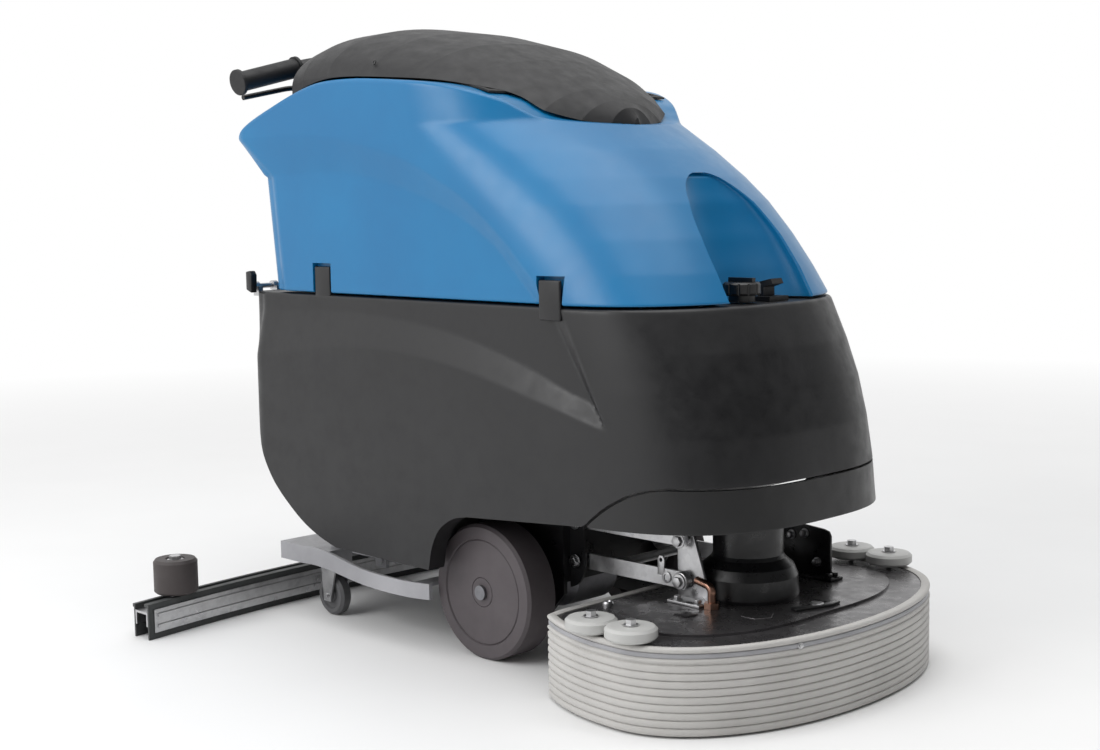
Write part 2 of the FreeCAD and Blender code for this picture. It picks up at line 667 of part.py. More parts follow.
def transaxle():
    """Gear case with its axle, crosswise between the drive wheels."""
    case = turned_across(0.0, WHEEL_RADIUS, [(0, -105), (34, -105), (40, -60), (56, -48), (56, 48), (40, 60),
                                             (34, 105), (0, 105)])
    axle = cross_rod(12.5, 0.0, WHEEL_RADIUS, -232.0, 232.0)
    nose = rod(30.0, 70.0, 0.0, 0.0, WHEEL_RADIUS, (-1, 0, 0))
    return fuse([case, axle, nose])


def drive_motor():
    body = rod(44.0, 110.0, -70.0, 0.0, WHEEL_RADIUS - 24.0, (-1, 0, 0))
    return body.makeFillet(4.0, [min(body.Edges, key=lambda e: e.CenterOfMass.x)])


def drive_wheel():
    """Solid drive wheel of the right side: rounded tread, ring groove and hub cap."""
    outer = WHEEL_OUTER_Y
    inner = WHEEL_OUTER_Y - WHEEL_WIDTH
    r = WHEEL_RADIUS
    wheel = turned_across(0.0, r, [
        (12.5 + RUNNING_GAP, inner), (30, inner), (34, inner + 10), (84, inner + 10), (88, inner + 2), (r - 5, inner),
        (r, inner + 5), (r, outer - 5), (r - 5, outer), (92, outer), (90, outer - 3), (88, outer - 1),
        (26, outer - 1), (25, outer - 2.5), (24, outer - 1), (12.5 + RUNNING_GAP, outer - 1)])
    return mirrored(wheel)


CASTER_X = -438.0
CASTER_Y = 205.0
CASTER_RADIUS = 38.0
CASTER_TRAIL = 16.0


def caster_fork():
    """Steel swivel fork: stem, crown and two cheeks."""
    pivot_x = CASTER_X + CASTER_TRAIL
    stem = upright(7.0, pivot_x, -CASTER_Y, 92.0, 142.0)
    crown = upright(21.0, pivot_x, -CASTER_Y, 90.0, 98.0)
    crown = fuse([crown, box(CASTER_X - 16.0, pivot_x + 10.0, -CASTER_Y - 19.0, -CASTER_Y + 19.0, 86.0, 91.0)])
    cheeks = []
    for side in (-1, 1):
        low, high = sorted((-CASTER_Y + side * 15.5, -CASTER_Y + side * 19.0))
        cheeks.append(side_slab(low, high, [(CASTER_X - 16.0, 91.0), (pivot_x + 10.0, 91.0)],
                                [(pivot_x + 10.0, 91.0), (CASTER_X + 10.0, 28.0)],
                                [(CASTER_X + 10.0, 28.0), (CASTER_X - 10.0, 28.0)],
                                [(CASTER_X - 10.0, 28.0), (CASTER_X - 16.0, 91.0)]))
    axle = cross_rod(5.0, CASTER_X, CASTER_RADIUS, -CASTER_Y - 23.0, -CASTER_Y + 23.0)
    return fuse([stem, crown, axle] + cheeks)


def caster_wheel():
    r = CASTER_RADIUS
    y = CASTER_Y
    return mirrored(turned_across(CASTER_X, r, [(5.0 + RUNNING_GAP, y - 13), (12, y - 13), (14, y - 8), (24, y - 8),
                                                (26, y - 12), (r - 5, y - 12), (r, y - 7), (r, y + 7), (r - 5, y + 12),
                                                (26, y + 12), (24, y + 8), (14, y + 8), (12, y + 13),
                                                (5.0 + RUNNING_GAP, y + 13)]))


def caster_mounts():
    """Bearing housings of the casters, bolted into the rear frame."""
    pivot_x = CASTER_X + CASTER_TRAIL
    housing = upright(24.0, pivot_x, -CASTER_Y, 99.0, 129.0)
    housing = fuse([housing, upright(15.0, pivot_x, -CASTER_Y, 129.0, 146.0)])
    return [housing, mirrored(housing)]


# Brush deck.

def deck_radius(t):
    """Distance from the deck's centre to its rim in the direction t."""
    reach = DECK_FRONT_REACH if math.cos(t) > 0 else DECK_REAR_REACH
    along = abs(math.cos(t) / reach) ** DECK_SQUARENESS
    across = abs(math.sin(t) / DECK_HALF_WIDTH) ** DECK_SQUARENESS
    return (along + across) ** (-1.0 / DECK_SQUARENESS)


def deck_wire(z, grow):
    """Deck outline at height z: the rim formula, with the rear held to a straight edge."""
    points = []
    rear_x = DECK_REAR_X - grow
    steps = 40
    for i in range(steps + 1):
        t = math.radians(-128.0) + math.radians(256.0) * i / steps
        r = deck_radius(t) + grow
        x = DECK_CENTRE_X + r * math.cos(t)
        y = r * math.sin(t)
        if x > rear_x + 6.0:
            points.append(Vector(x, y, z))
    first = Vector(rear_x, points[0].y + 34.0, z)
    last = Vector(rear_x, points[-1].y - 34.0, z)
    return Part.Wire([edge([first] + points + [last]), edge([last, first])])


def deck_slab(z0, z1, grow=0.0):
    return Part.Face(deck_wire(z0, grow)).extrude(Vector(0, 0, z1 - z0))


def deck_plate():
    """Pressed steel deck with a raised, D-shaped platform."""
    plate = deck_slab(126.0, DECK_TOP_Z, -14.0)
    ridge = deck_slab(DECK_TOP_Z - 1.0, 136.0, -74.0)
    wall = deck_slab(88.0, 127.0, -20.0).cut(deck_slab(80.0, 126.0, -24.0))
    deck = fuse([plate, ridge, wall] + deck_brackets())
    for side in (-1, 1):
        deck = deck.cut(upright(15.0, DECK_CENTRE_X - 18.0, side * BRUSH_Y, 100.0, 150.0))
    return deck


def deck_skirt():
    """Ribbed rubber splash skirt with a thick upper lip."""
    skin = deck_slab(SKIRT_BOTTOM_Z, 110.0, 0.0)
    ribs = [deck_slab(z, z + 7.0, 2.5) for z in (8.0 + 12.6 * i for i in range(8))]
    lip = deck_slab(112.0, 134.0, 3.0)
    groove = deck_slab(108.0, 114.0, 0.0)
    skirt = fuse([skin, groove, lip] + ribs)
    skirt = skirt.cut(deck_slab(0.0, 140.0, -11.0)).cut(deck_slab(120.0, 140.0, -13.7))
    for x, y in ROLLERS:
        for side in (-1, 1):
            skirt = skirt.cut(upright(5.0, x, side * y, 100.0, 150.0))
    return skirt


def brush_motor():
    """Gear case and motor of the brushes: a bell foot and a tall cylinder."""
    return turned(MOTOR_X, 0.0, [(0, 136.2), (80, 136.2), (82, 142), (80, 172), (74, 188), (60, 200), (57, 206),
                                 (57, 258), (50, 264), (0, 264)])


def gear_cases():
    """Flat gear housings that take the drive from the motor out to the brushes."""
    case = box(DECK_CENTRE_X - 48.0, DECK_CENTRE_X + 12.0, -196.0, 196.0, 104.0, 125.7)
    case = rounded(case, 24.0, lambda e: e.BoundBox.ZLength > 20)
    for side in (-1, 1):
        case = case.cut(upright(8.0 + RUNNING_GAP, DECK_CENTRE_X - 18.0, side * BRUSH_Y, 90.0, 130.0))
    return case


def brush_hub():
    """Right brush: spindle and round block; the bristles are a piece of their own."""
    x = DECK_CENTRE_X - 18.0
    return turned(x, -BRUSH_Y, [(0, 62), (BRUSH_RADIUS - 4, 62), (BRUSH_RADIUS - 2, 66), (BRUSH_RADIUS - 2, 78),
                                (BRUSH_RADIUS - 8, 82), (60, 82), (50, 92), (20, 96), (8, 99), (8, 124), (0, 124)])


def brush_bristles():
    x = DECK_CENTRE_X - 18.0
    return turned(x, -BRUSH_Y, [(70, 0.3), (BRUSH_RADIUS, 0.3), (BRUSH_RADIUS - 5, 62), (78, 62)])


def deck_brackets():
    """Uprights welded to the deck that carry the front pivots of the links."""
    x, z = LINK_FRONT
    cheeks = []
    for side in (-1, 1):
        low, high = sorted((side * (LINK_Y - 10.0), side * (LINK_Y - 5.0)))
        cheek = side_slab(low, high, [(x - 16.0, 136.0), (x + 52.0, 136.0)],
                          [(x + 52.0, 136.0), (x + 14.0, z + LINK_RISE + 12.0)],
                          [(x + 14.0, z + LINK_RISE + 12.0), (x - 16.0, z + LINK_RISE + 12.0)],
                          [(x - 16.0, z + LINK_RISE + 12.0), (x - 16.0, 136.0)])
        foot_low, foot_high = sorted((side * (LINK_Y - 10.0), side * (LINK_Y + 26.0)))
        foot = box(x - 10.0, x + 52.0, foot_low, foot_high, 136.0, 140.0)
        cheek = cheek.cut(cross_rod(6.0 + RUNNING_GAP, x, z, low - 1, high + 1))
        cheek = cheek.cut(cross_rod(6.0 + RUNNING_GAP, x, z + LINK_RISE, low - 1, high + 1))
        cheeks.append(fuse([cheek, foot]))
    return cheeks


def link_pair(rise, height):
    """Flat bars on both sides with their pivot pins, joined by a cross tube behind the motor."""
    x0, z0 = LINK_REAR
    x1 = LINK_FRONT[0]
    z = z0 + rise
    parts = []
    for side in (-1, 1):
        low, high = sorted((side * (LINK_Y - 4.6), side * (LINK_Y + 0.4)))
        bar = box(x0, x1, low, high, z - height / 2, z + height / 2)
        ends = [cross_rod(height / 2, x, z, low, high) for x in (x0, x1)]
        rear_low, rear_high = sorted((side * (LINK_Y - 2.0), side * (LINK_Y + 14.0)))
        front_low, front_high = sorted((side * (LINK_Y - 14.0), side * (LINK_Y - 2.0)))
        pins = [cross_rod(6.0, x0, z, rear_low, rear_high), cross_rod(6.0, x1, z, front_low, front_high)]
        washer_low, washer_high = sorted((side * (LINK_Y + 0.4), side * (LINK_Y + 4.6)))
        washer = cross_rod(11.0, x0, z, washer_low, washer_high)
        parts.append(fuse([bar, washer] + ends + pins))
    cross = cross_rod(8.0, x0 + 70.0, z, -LINK_Y + 2.0, LINK_Y - 2.0)
    return fuse(parts + [cross])


def water_elbow():
    """Brass elbow on a hexagonal base, where the solution line enters the deck."""
    x, y = 409.0, -112.0
    hexagon = plan_slab(136.2, 146.0, [(x + 13.0 * math.cos(math.radians(60 * i)),
                                        y + 13.0 * math.sin(math.radians(60 * i))) for i in range(6)])
    bend = tube_along([(x, y, 144.0), (x, y, 170.0), (x - 32.0, y + 2.0, 176.0)], 6.5)
    return fuse([hexagon, bend])


MOTOR_X = 392.0
ROLLERS = ((359.0, 332.0), (438.0, 330.0))
ROLLER_RADIUS = 39.5
ROLLER_Z = 138.0


def bumper_roller(x, y):
    top = ROLLER_Z + 20.0
    r = ROLLER_RADIUS
    return turned(x, y, [(5.0 + RUNNING_GAP, ROLLER_Z), (r - 4, ROLLER_Z), (r, ROLLER_Z + 4), (r, top - 5), (r - 4, top - 1),
                         (r - 10, top), (14, top), (12, top - 1.5), (5.0 + RUNNING_GAP, top - 1.5)])


def roller_bolts():
    bolts = []
    for x, y in ROLLERS:
        for side in (-1, 1):
            shank = upright(5.0, x, side * y, 132.0, 160.0)
            washer = upright(11.0, x, side * y, 157.8, 159.5)
            head = plan_slab(159.5, 167.0, [(x + 8.5 * math.cos(math.radians(60 * i + 15)),
                                             side * y + 8.5 * math.sin(math.radians(60 * i + 15))) for i in range(6)])
            bolts.append(fuse([shank, washer, head]))
    return Part.makeCompound(bolts)


# Squeegee.

def squeegee_strip(x0, x1, z0, z1, trim=0.0):
    """Strip of the curved squeegee between two offsets from the front line and two heights."""
    centre_x = SQUEEGEE_FRONT_X + SQUEEGEE_RADIUS
    half = SQUEEGEE_HALF - trim

    def arc(offset):
        r = SQUEEGEE_RADIUS - offset
        ends = [Vector(centre_x - math.sqrt(r * r - y * y), y, z0) for y in (-half, 0.0, half)]
        return ends

    a = arc(x0)
    b = arc(x1)
    wire = Part.Wire([Part.Arc(*a).toShape(), edge([a[2], b[2]]), Part.Arc(b[2], b[1], b[0]).toShape(),
                      edge([b[0], a[0]])])
    return Part.Face(wire).extrude(Vector(0, 0, z1 - z0))


SPIGOT_COLLAR_TOP = 36.0
SPIGOT_LENGTH = 42.0


def on_spigot_axis(radius, start, length):
    """Cylinder on the leaning axis of the squeegee's hose spigot, from a distance along it."""
    foot = Vector(SQUEEGEE_FRONT_X - 26.0, 0, 46.0)
    axis = Vector(-0.42, 0, 0.9075).normalize()
    return Part.makeCylinder(radius, length, foot + axis * start, axis)


def squeegee_body():
    """Formed steel channel that carries the two blades, with the suction spigot on top."""
    web = squeegee_strip(-46.0, -6.4, 24.0, 50.0)
    channel = web.cut(squeegee_strip(-42.0, -10.4, 20.0, 46.0))
    x = SQUEEGEE_FRONT_X - 26.0
    spigot = on_spigot_axis(22.5, SPIGOT_COLLAR_TOP, SPIGOT_LENGTH)
    above_blades = box(x - 80.0, x + 80.0, -80.0, 80.0, 65.4, 150.0)
    collar = on_spigot_axis(26.0, 0.0, SPIGOT_COLLAR_TOP).common(above_blades)
    bore = on_spigot_axis(19.0, -22.0, 130.0)
    pad = box(x - 18.0, x + 9.0, -98.0, 98.0, 49.0, 66.0)
    return fuse([channel, pad, collar, spigot] + end_roller_bolts()).cut(bore)


def front_blade():
    """Front rubber blade with its turned lips at top and bottom."""
    blade = squeegee_strip(-6.0, -2.0, 0.3, 62.0)
    top_lip = squeegee_strip(-16.0, -2.0, 60.0, 65.0)
    return fuse([blade, top_lip])


def rear_blade():
    blade = squeegee_strip(-50.4, -46.4, 0.3, 58.0)
    return fuse([blade, squeegee_strip(-54.0, -46.4, 54.0, 60.0)])


def clamp_strips():
    """Galvanised strips that press the blades on, with a raised rib along the front one."""
    front = squeegee_strip(-1.6, 0.4, 12.0, 54.0, 12.0)
    ribs = [squeegee_strip(0.2, 3.0, 20.0, 26.0, 20.0), squeegee_strip(0.2, 3.0, 40.0, 46.0, 20.0)]
    rear = squeegee_strip(-53.4, -50.8, 14.0, 50.0, 12.0)
    return Part.makeCompound([fuse([front] + ribs), rear])


END_ROLLER = (-573.0, 465.0)


def end_roller():
    x, y = END_ROLLER
    r = 40.0
    return turned(x, -y, [(6.0 + RUNNING_GAP, 68.4), (r - 4, 68.4), (r, 72), (r, 126), (r - 4, 131), (18, 131), (16, 127),
                          (6.0 + RUNNING_GAP, 127)])


def end_roller_bolts():
    x, y = END_ROLLER
    nut = plan_slab(128.0, 136.0, [(x + 11.0 * math.cos(math.radians(60 * i)), -y + 11.0 * math.sin(math.radians(60 * i)))
                                   for i in range(6)])
    bolt = fuse([upright(6.0, x, -y, 48.0, 133.0), upright(15.0, x, -y, 127.1, 129.0), nut,
                 box(x - 27.0, x + 19.0, -y - 20.0, -y + 20.0, 65.2, 68.0)])
    return [bolt, mirrored(bolt)]


ARM_PIVOT = (-440.0, 84.0)
YAW_PIVOT_X = -566.0


def squeegee_arm():
    """Lift arm under the rear frame, from its hinge to the squeegee's yaw pivot."""
    x, z = ARM_PIVOT
    pin = cross_rod(8.0, x, z, -96.0, 96.0)
    sides = [box(YAW_PIVOT_X + 10.0, x, side * ARM_Y - 4.0, side * ARM_Y + 4.0, z - 12.0, z + 10.0) for side in (-1, 1)]
    ears = [cross_rod(14.0, x, z, side * ARM_Y - 4.0, side * ARM_Y + 4.0) for side in (-1, 1)]
    head = box(YAW_PIVOT_X - 22.0, YAW_PIVOT_X + 14.0, -54.0, 54.0, 72.0, 84.0)
    return fuse([pin, head] + sides + ears).cut(upright(8.0 + RUNNING_GAP, YAW_PIVOT_X, 0.0, 60.0, 90.0))


def arm_brackets():
    x, z = ARM_PIVOT
    ears = []
    for side in (-1, 1):
        low, high = sorted((side * 84.0, side * 92.0))
        plate = box(x - 16.0, x + 16.0, low, high, z - 14.0, 129.0)
        ears.append(plate.cut(cross_rod(8.0 + RUNNING_GAP, x, z, low - 1, high + 1)))
    return ears


def yaw_carrier():
    """Carrier with the yaw pin and two hand knobs that hold the squeegee."""
    x = YAW_PIVOT_X
    pin = upright(8.0, x, 0.0, 67.0, 92.0)
    cap = upright(14.0, x, 0.0, 84.4, 90.0)
    plate = box(x - 60.0, x + 12.0, -96.0, 96.0, 66.2, 71.7).cut(on_spigot_axis(27.5, -20.0, 90.0))
    return fuse([pin, cap, plate] + hand_knobs())


def hand_knobs():
    knobs = []
    for side in (-1, 1):
        y = side * 84.0
        x = YAW_PIVOT_X - 42.0
        knob = turned(x, y, [(0, 71.5), (9, 71.5), (9, 79), (20, 83), (20, 95), (16, 99), (0, 99)])
        for turn in range(6):
            angle = math.radians(60 * turn)
            knob = knob.cut(upright(4.5, x + 21.0 * math.cos(angle), y + 21.0 * math.sin(angle), 81.0, 101.0))
        knobs.append(knob)
    return knobs


LIFT_PIVOT = (-560.0, 262.0)


def lift_lever():
    """Foot pedal that raises the squeegee, low on the body's back."""
    x, z = LIFT_PIVOT
    hub = cross_rod(9.0, x, z, -190.0, -150.0).cut(cross_rod(5.0 + RUNNING_GAP, x, z, -200.0, -140.0))
    arm = side_slab(-180.0, -160.0, [(x, z + 7.0), (x - 76.0, z + 12.0)], [(x - 76.0, z + 12.0), (x - 84.0, z + 2.0)],
                    [(x - 84.0, z + 2.0), (x, z - 7.0)], [(x, z - 7.0), (x, z + 7.0)])
    arm = arm.cut(cross_rod(5.0 + RUNNING_GAP, x, z, -200.0, -140.0))
    return fuse([hub, arm])


def pedal_bracket():
    x, z = LIFT_PIVOT
    ears = [box(x - 10.0, x + 34.0, y, y + 6.0, z - 12.0, z + 12.0) for y in (-198.0, -148.0)]
    pin = cross_rod(5.0, x, z, -198.0, -142.0)
    plate = box(x + 26.0, x + 34.0, -198.0, -142.0, z - 12.0, z + 12.0)
    return fuse(ears + [pin, plate])


# Hinges, battery room and filler.


def tilt_hinges():
    """Knuckles and pins on the body's rear top edge, on which the recovery tank tips back."""
    x, z = TILT_PIVOT
    hinges = []
    for side in (-1, 1):
        y = side * 225.0
        pin = cross_rod(5.0, x, z, y - 26.0, y + 26.0)
        ears = []
        for low, high in ((y - 26.0, y - 16.0), (y + 16.0, y + 26.0)):
            ears.append(cross_rod(9.0, x, z, low, high))
            ears.append(box(x, -587.0, low, high, 600.0, z))
        hinges.append(fuse(ears + [pin]))
    return Part.makeCompound(hinges)


def tilt_ears():
    """Ears of the recovery tank that turn on the hinge pins."""
    x, z = TILT_PIVOT
    ears = []
    for side in (-1, 1):
        y = side * 225.0
        low, high = y - 15.0, y + 15.0
        ear = fuse([cross_rod(10.0, x, z, low, high), box(x, -514.0, low, high, 622.0, 628.0),
                    box(-538.0, -514.0, low, high, 626.0, 690.0)])
        ear = ear.cut(cross_rod(5.0 + RUNNING_GAP, x, z, low - 1, high + 1))
        ears.append(ear)
    return ears


def lid_hinges():
    """Pins beside the tank's left rim, on which the lid swings sideways."""
    y, z = LID_PIVOT
    parts = []
    for x in LID_HINGES:
        ears = [rod(6.0, 6.0, x + dx, y, z, (1, 0, 0)) for dx in (-22.0, 16.0)]
        legs = [box(x + dx, x + dx + 6.0, y - 2.0, y + 4.0, z - 40.0, z) for dx in (-22.0, 16.0)]
        parts.append(fuse(ears + legs + [rod(3.0, 44.0, x - 22.0, y, z, (1, 0, 0))]))
    return parts


BATTERY_X = (-400.0, -276.0)    # rear face of each row
BATTERY_LENGTH = 122.0
BATTERY_FLOOR = 192.0


def batteries():
    """Four blocks in the battery room, each with two terminals."""
    blocks = []
    for x in BATTERY_X:
        for side in (-1, 1):
            low, high = sorted((side * 4.0, side * 140.0))
            case = box(x, x + BATTERY_LENGTH, low, high, BATTERY_FLOOR, BATTERY_FLOOR + 210.0)
            case = rounded(case, 5.0, lambda e: e.BoundBox.ZLength > 200)
            posts = [upright(8.0, x + dx, side * 72.0, BATTERY_FLOOR + 209.0, BATTERY_FLOOR + 222.0)
                     for dx in (20.0, BATTERY_LENGTH - 20.0)]
            blocks.append(fuse([case] + posts))
    return Part.makeCompound(blocks)


CAP_X, CAP_Y = 408.0, -34.0
CAP_RADIUS = 30.0


def filler_neck():
    """Threaded neck on the body's top, inside the tank's front recess."""
    neck = upright(CAP_RADIUS - 3.0, CAP_X, CAP_Y, 606.0, 622.0)
    return neck.cut(upright(CAP_RADIUS - 9.0, CAP_X, CAP_Y, 600.0, 630.0))


def filler_cap():
    r = CAP_RADIUS
    cap = turned(CAP_X, CAP_Y, [(0, 622.4), (r - 2, 622.4), (r, 626), (r, 640), (r - 3, 643), (0, 643)])
    plug = upright(r - 9.1, CAP_X, CAP_Y, 612.0, 623.0)
    for turn in range(12):
        angle = math.radians(30 * turn)
        notch_x = CAP_X + (r + 1.0) * math.cos(angle)
        notch_y = CAP_Y + (r + 1.0) * math.sin(angle)
        cap = cap.cut(upright(2.5, notch_x, notch_y, 620.0, 645.0))
    ridge = box(CAP_X - r + 6.0, CAP_X + r - 6.0, CAP_Y - 4.0, CAP_Y + 4.0, 642.0, 650.0)
    return fuse([cap, plug, ridge])


def tank_catch():
    """Catch that locks the recovery tank down, beside the filler."""
    base = box(394.0, 430.0, 8.0, 56.0, 610.2, 618.0)
    hook = side_slab(18.0, 46.0, [(398.0, 618.0), (398.0, 640.0)], [(398.0, 640.0), (424.0, 646.0)],
                     [(424.0, 646.0), (428.0, 638.0)], [(428.0, 638.0), (410.0, 632.0)],
                     [(410.0, 632.0), (410.0, 618.0)], [(410.0, 618.0), (398.0, 618.0)])
    return fuse([base, hook])


def solution_filter():
    """Clear-bowl filter and valve of the solution line, on the chassis beam."""
    bowl = upright(20.0, 130.0, 40.0, 190.0, 226.0)
    head = upright(24.0, 130.0, 40.0, 226.0, 240.0)
    return fuse([bowl, head, box(126.0, 134.0, 36.0, 44.0, 239.0, 246.0)])


os.makedirs("parts", exist_ok=True)

PARTS = [
    ("solution_tank", solution_tank()),
    ("front_fascia", front_fascia()),
    ("chassis_frame", chassis_frame()),
    ("rear_frame", rear_frame()),
    ("transaxle", transaxle()),
    ("drive_motor", drive_motor()),
    ("tilt_hinges", tilt_hinges()),
    ("batteries", batteries()),
    ("tank_catch", tank_catch()),
    ("solution_filter", solution_filter()),
    ("filler_cap", filler_cap()),
    ("recovery_tank", recovery_tank()),
    ("lid_seal", lid_seal()),
    ("rear_console", console_with_lever_holes()),
    ("handlebar", handlebar()),
    ("handle_grips", handle_grips()),
    ("control_panel", control_panel()),
    ("vacuum_motor", vacuum_motor()),
    ("suction_inlet", suction_inlet()),
    ("drain_plug", drain_plug()),
    ("float_cage", float_cage()),
    ("float_ball", float_ball()),
    ("tank_lid", tank_lid()),
    ("drive_lever", drive_lever()),
    ("key_switch", key_switch()),
    ("flow_knob", flow_knob()),
    ("deck_plate", deck_plate()),
    ("deck_skirt", deck_skirt()),
    ("gear_cases", gear_cases()),
    ("brush_motor", brush_motor()),
    ("lower_links", link_pair(0.0, 27.0)),
    ("upper_links", link_pair(LINK_RISE, 22.0)),
    ("water_elbow", water_elbow()),
    ("roller_bolts", roller_bolts()),
    ("squeegee_arm", squeegee_arm()),
    ("squeegee_carrier", yaw_carrier()),
    ("squeegee_body", squeegee_body()),
    ("front_blade", front_blade()),
    ("rear_blade", rear_blade()),
    ("clamp_strips", clamp_strips()),
    ("lift_lever", lift_lever()),
]
PARTS += [("button_" + use, push_button(y)) for use, y in zip(("brush", "suction", "water"), BUTTON_Y)]

# Pieces of the right side and their mirror images on the left.
RIGHT_HAND = [
    ("drive_wheel", drive_wheel()),
    ("caster_fork", caster_fork()),
    ("caster_wheel", caster_wheel()),
    ("brush_hub", brush_hub()),
    ("brush_bristles", brush_bristles()),
    ("rear_roller", bumper_roller(ROLLERS[0][0], -ROLLERS[0][1])),
    ("front_roller", bumper_roller(ROLLERS[1][0], -ROLLERS[1][1])),
    ("end_roller", end_roller()),
]
for name, shape in RIGHT_HAND:
    PARTS.append((name + "_right", shape))
    PARTS.append((name + "_left", mirrored(shape)))

for node, solid in PARTS:
    save(node, solid)

whole = LIMITS[0]
for limits in LIMITS[1:]:
    whole.add(limits)
print("nodes", len(LIMITS), "box", whole)
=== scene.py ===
import json
import math

import bmesh
import bpy
import numpy as np
from mathutils import Matrix, Vector


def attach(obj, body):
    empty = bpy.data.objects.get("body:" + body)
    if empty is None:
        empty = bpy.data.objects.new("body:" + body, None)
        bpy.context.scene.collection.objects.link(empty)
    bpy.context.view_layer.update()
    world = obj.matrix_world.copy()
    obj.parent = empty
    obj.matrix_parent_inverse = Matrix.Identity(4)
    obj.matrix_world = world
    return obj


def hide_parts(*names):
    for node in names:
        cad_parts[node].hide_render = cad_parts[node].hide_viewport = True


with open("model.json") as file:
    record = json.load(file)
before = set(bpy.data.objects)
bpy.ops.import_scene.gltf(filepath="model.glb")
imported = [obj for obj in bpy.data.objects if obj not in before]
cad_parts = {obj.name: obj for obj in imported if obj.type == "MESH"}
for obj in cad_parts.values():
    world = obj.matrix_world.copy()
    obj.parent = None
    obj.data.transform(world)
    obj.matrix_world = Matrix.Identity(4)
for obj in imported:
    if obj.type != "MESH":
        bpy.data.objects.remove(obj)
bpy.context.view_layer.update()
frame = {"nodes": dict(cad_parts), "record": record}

# Shapes are drawn in millimetres with the drive axle at x = 0, as the CAD draws them, and are moved
# by AXLE_X into the row frame.
AXLE_X = 16.3
MM = 0.001


# Materials.

def colour(red, green, blue):
    """Linear colour from 8-bit display values."""
    return tuple(((c / 255 + 0.055) / 1.055) ** 2.4 if c > 10 else c / 255 / 12.92
                 for c in (red, green, blue)) + (1.0,)


class Nodes:
    """A material with its shader and short calls that add nodes to it."""

    def __init__(self, name):
        self.material = bpy.data.materials.new(name)
        self.material.use_nodes = True
        self.tree = self.material.node_tree
        self.shader = self.tree.nodes["Principled BSDF"]
        self.place = self.add("ShaderNodeTexCoord").outputs["Object"]

    def add(self, kind, inputs=None, **settings):
        node = self.tree.nodes.new(kind)
        for key, value in settings.items():
            setattr(node, key, value)
        for key, value in (inputs or {}).items():
            if isinstance(value, bpy.types.NodeSocket):
                self.tree.links.new(value, node.inputs[key])
            else:
                node.inputs[key].default_value = value
        return node

    def link(self, source, socket):
        self.tree.links.new(source, self.shader.inputs[socket])

    def stretched(self, scale):
        return self.add("ShaderNodeMapping", {"Vector": self.place, "Scale": scale}).outputs[0]

    def noise(self, scale, detail=3.0, roughness=0.5, vector=None):
        return self.add("ShaderNodeTexNoise", {"Vector": vector or self.place, "Scale": scale, "Detail": detail,
                                               "Roughness": roughness}).outputs["Fac"]

    def span(self, value, low, high, to_low=0.0, to_high=1.0):
        return self.add("ShaderNodeMapRange", {0: value, 1: low, 2: high, 3: to_low, 4: to_high}).outputs[0]

    def mix(self, share, first, second):
        node = self.add("ShaderNodeMix", data_type="RGBA")
        for index, value in ((0, share), (6, first), (7, second)):
            if isinstance(value, bpy.types.NodeSocket):
                self.tree.links.new(value, node.inputs[index])
            else:
                node.inputs[index].default_value = value
        return node.outputs[2]

    def bump(self, height, distance, strength=1.0, under=None):
        inputs = {"Height": height, "Distance": distance, "Strength": strength}
        if under is not None:
            inputs["Normal"] = under
        return self.add("ShaderNodeBump", inputs).outputs[0]


def moulded(name, base, light, rough, grain=900.0, grain_depth=0.00006, spread=0.08, wave=0.0, coat=0.0,
            speckle=0.25):
    """Moulded plastic or rubber: two close tones in slow clouds, a fine grain and slow waves."""
    n = Nodes(name)
    clouds = n.noise(5.0, 4.0, 0.6)
    specks = n.noise(260.0, 2.0, 0.7)
    tone = n.mix(n.span(clouds, 0.35, 0.65), base, light)
    n.link(n.mix(n.span(specks, 0.62, 0.8, 0.0, speckle), tone, light), "Base Color")
    n.link(n.span(n.noise(34.0, 4.0, 0.6), 0.3, 0.7, rough - spread, rough + spread), "Roughness")
    normal = n.bump(n.noise(grain, 2.0, 0.6), grain_depth)
    if wave:
        normal = n.bump(n.noise(9.0, 2.0, 0.4), wave, under=normal)
    n.link(normal, "Normal")
    if coat:
        n.shader.inputs["Coat Weight"].default_value = coat
        n.shader.inputs["Coat Roughness"].default_value = 0.12
    return n.material


def painted(name, base, light, rough, metallic=0.0, peel=0.00008, dust=0.0, dust_tone=None):
    """Sprayed steel: orange peel, small nicks and a little dust on what faces up."""
    n = Nodes(name)
    clouds = n.noise(7.0, 4.0, 0.6)
    tone = n.mix(n.span(clouds, 0.35, 0.65), base, light)
    nicks = n.span(n.noise(70.0, 5.0, 0.75), 0.70, 0.76)
    tone = n.mix(nicks, tone, light)
    if dust:
        up = n.add("ShaderNodeSeparateXYZ", {0: n.add("ShaderNodeNewGeometry").outputs["Normal"]}).outputs[2]
        share = n.add("ShaderNodeMath", {0: n.span(up, 0.6, 1.0, 0.0, dust), 1: n.span(n.noise(24.0, 5.0, 0.7), 0.4, 0.7)},
                      operation="MULTIPLY").outputs[0]
        tone = n.mix(share, tone, dust_tone)
    n.link(tone, "Base Color")
    n.shader.inputs["Metallic"].default_value = metallic
    n.link(n.span(n.noise(40.0, 4.0, 0.6), 0.3, 0.7, rough - 0.1, rough + 0.1), "Roughness")
    n.link(n.bump(n.noise(420.0, 3.0, 0.5), peel), "Normal")
    return n.material


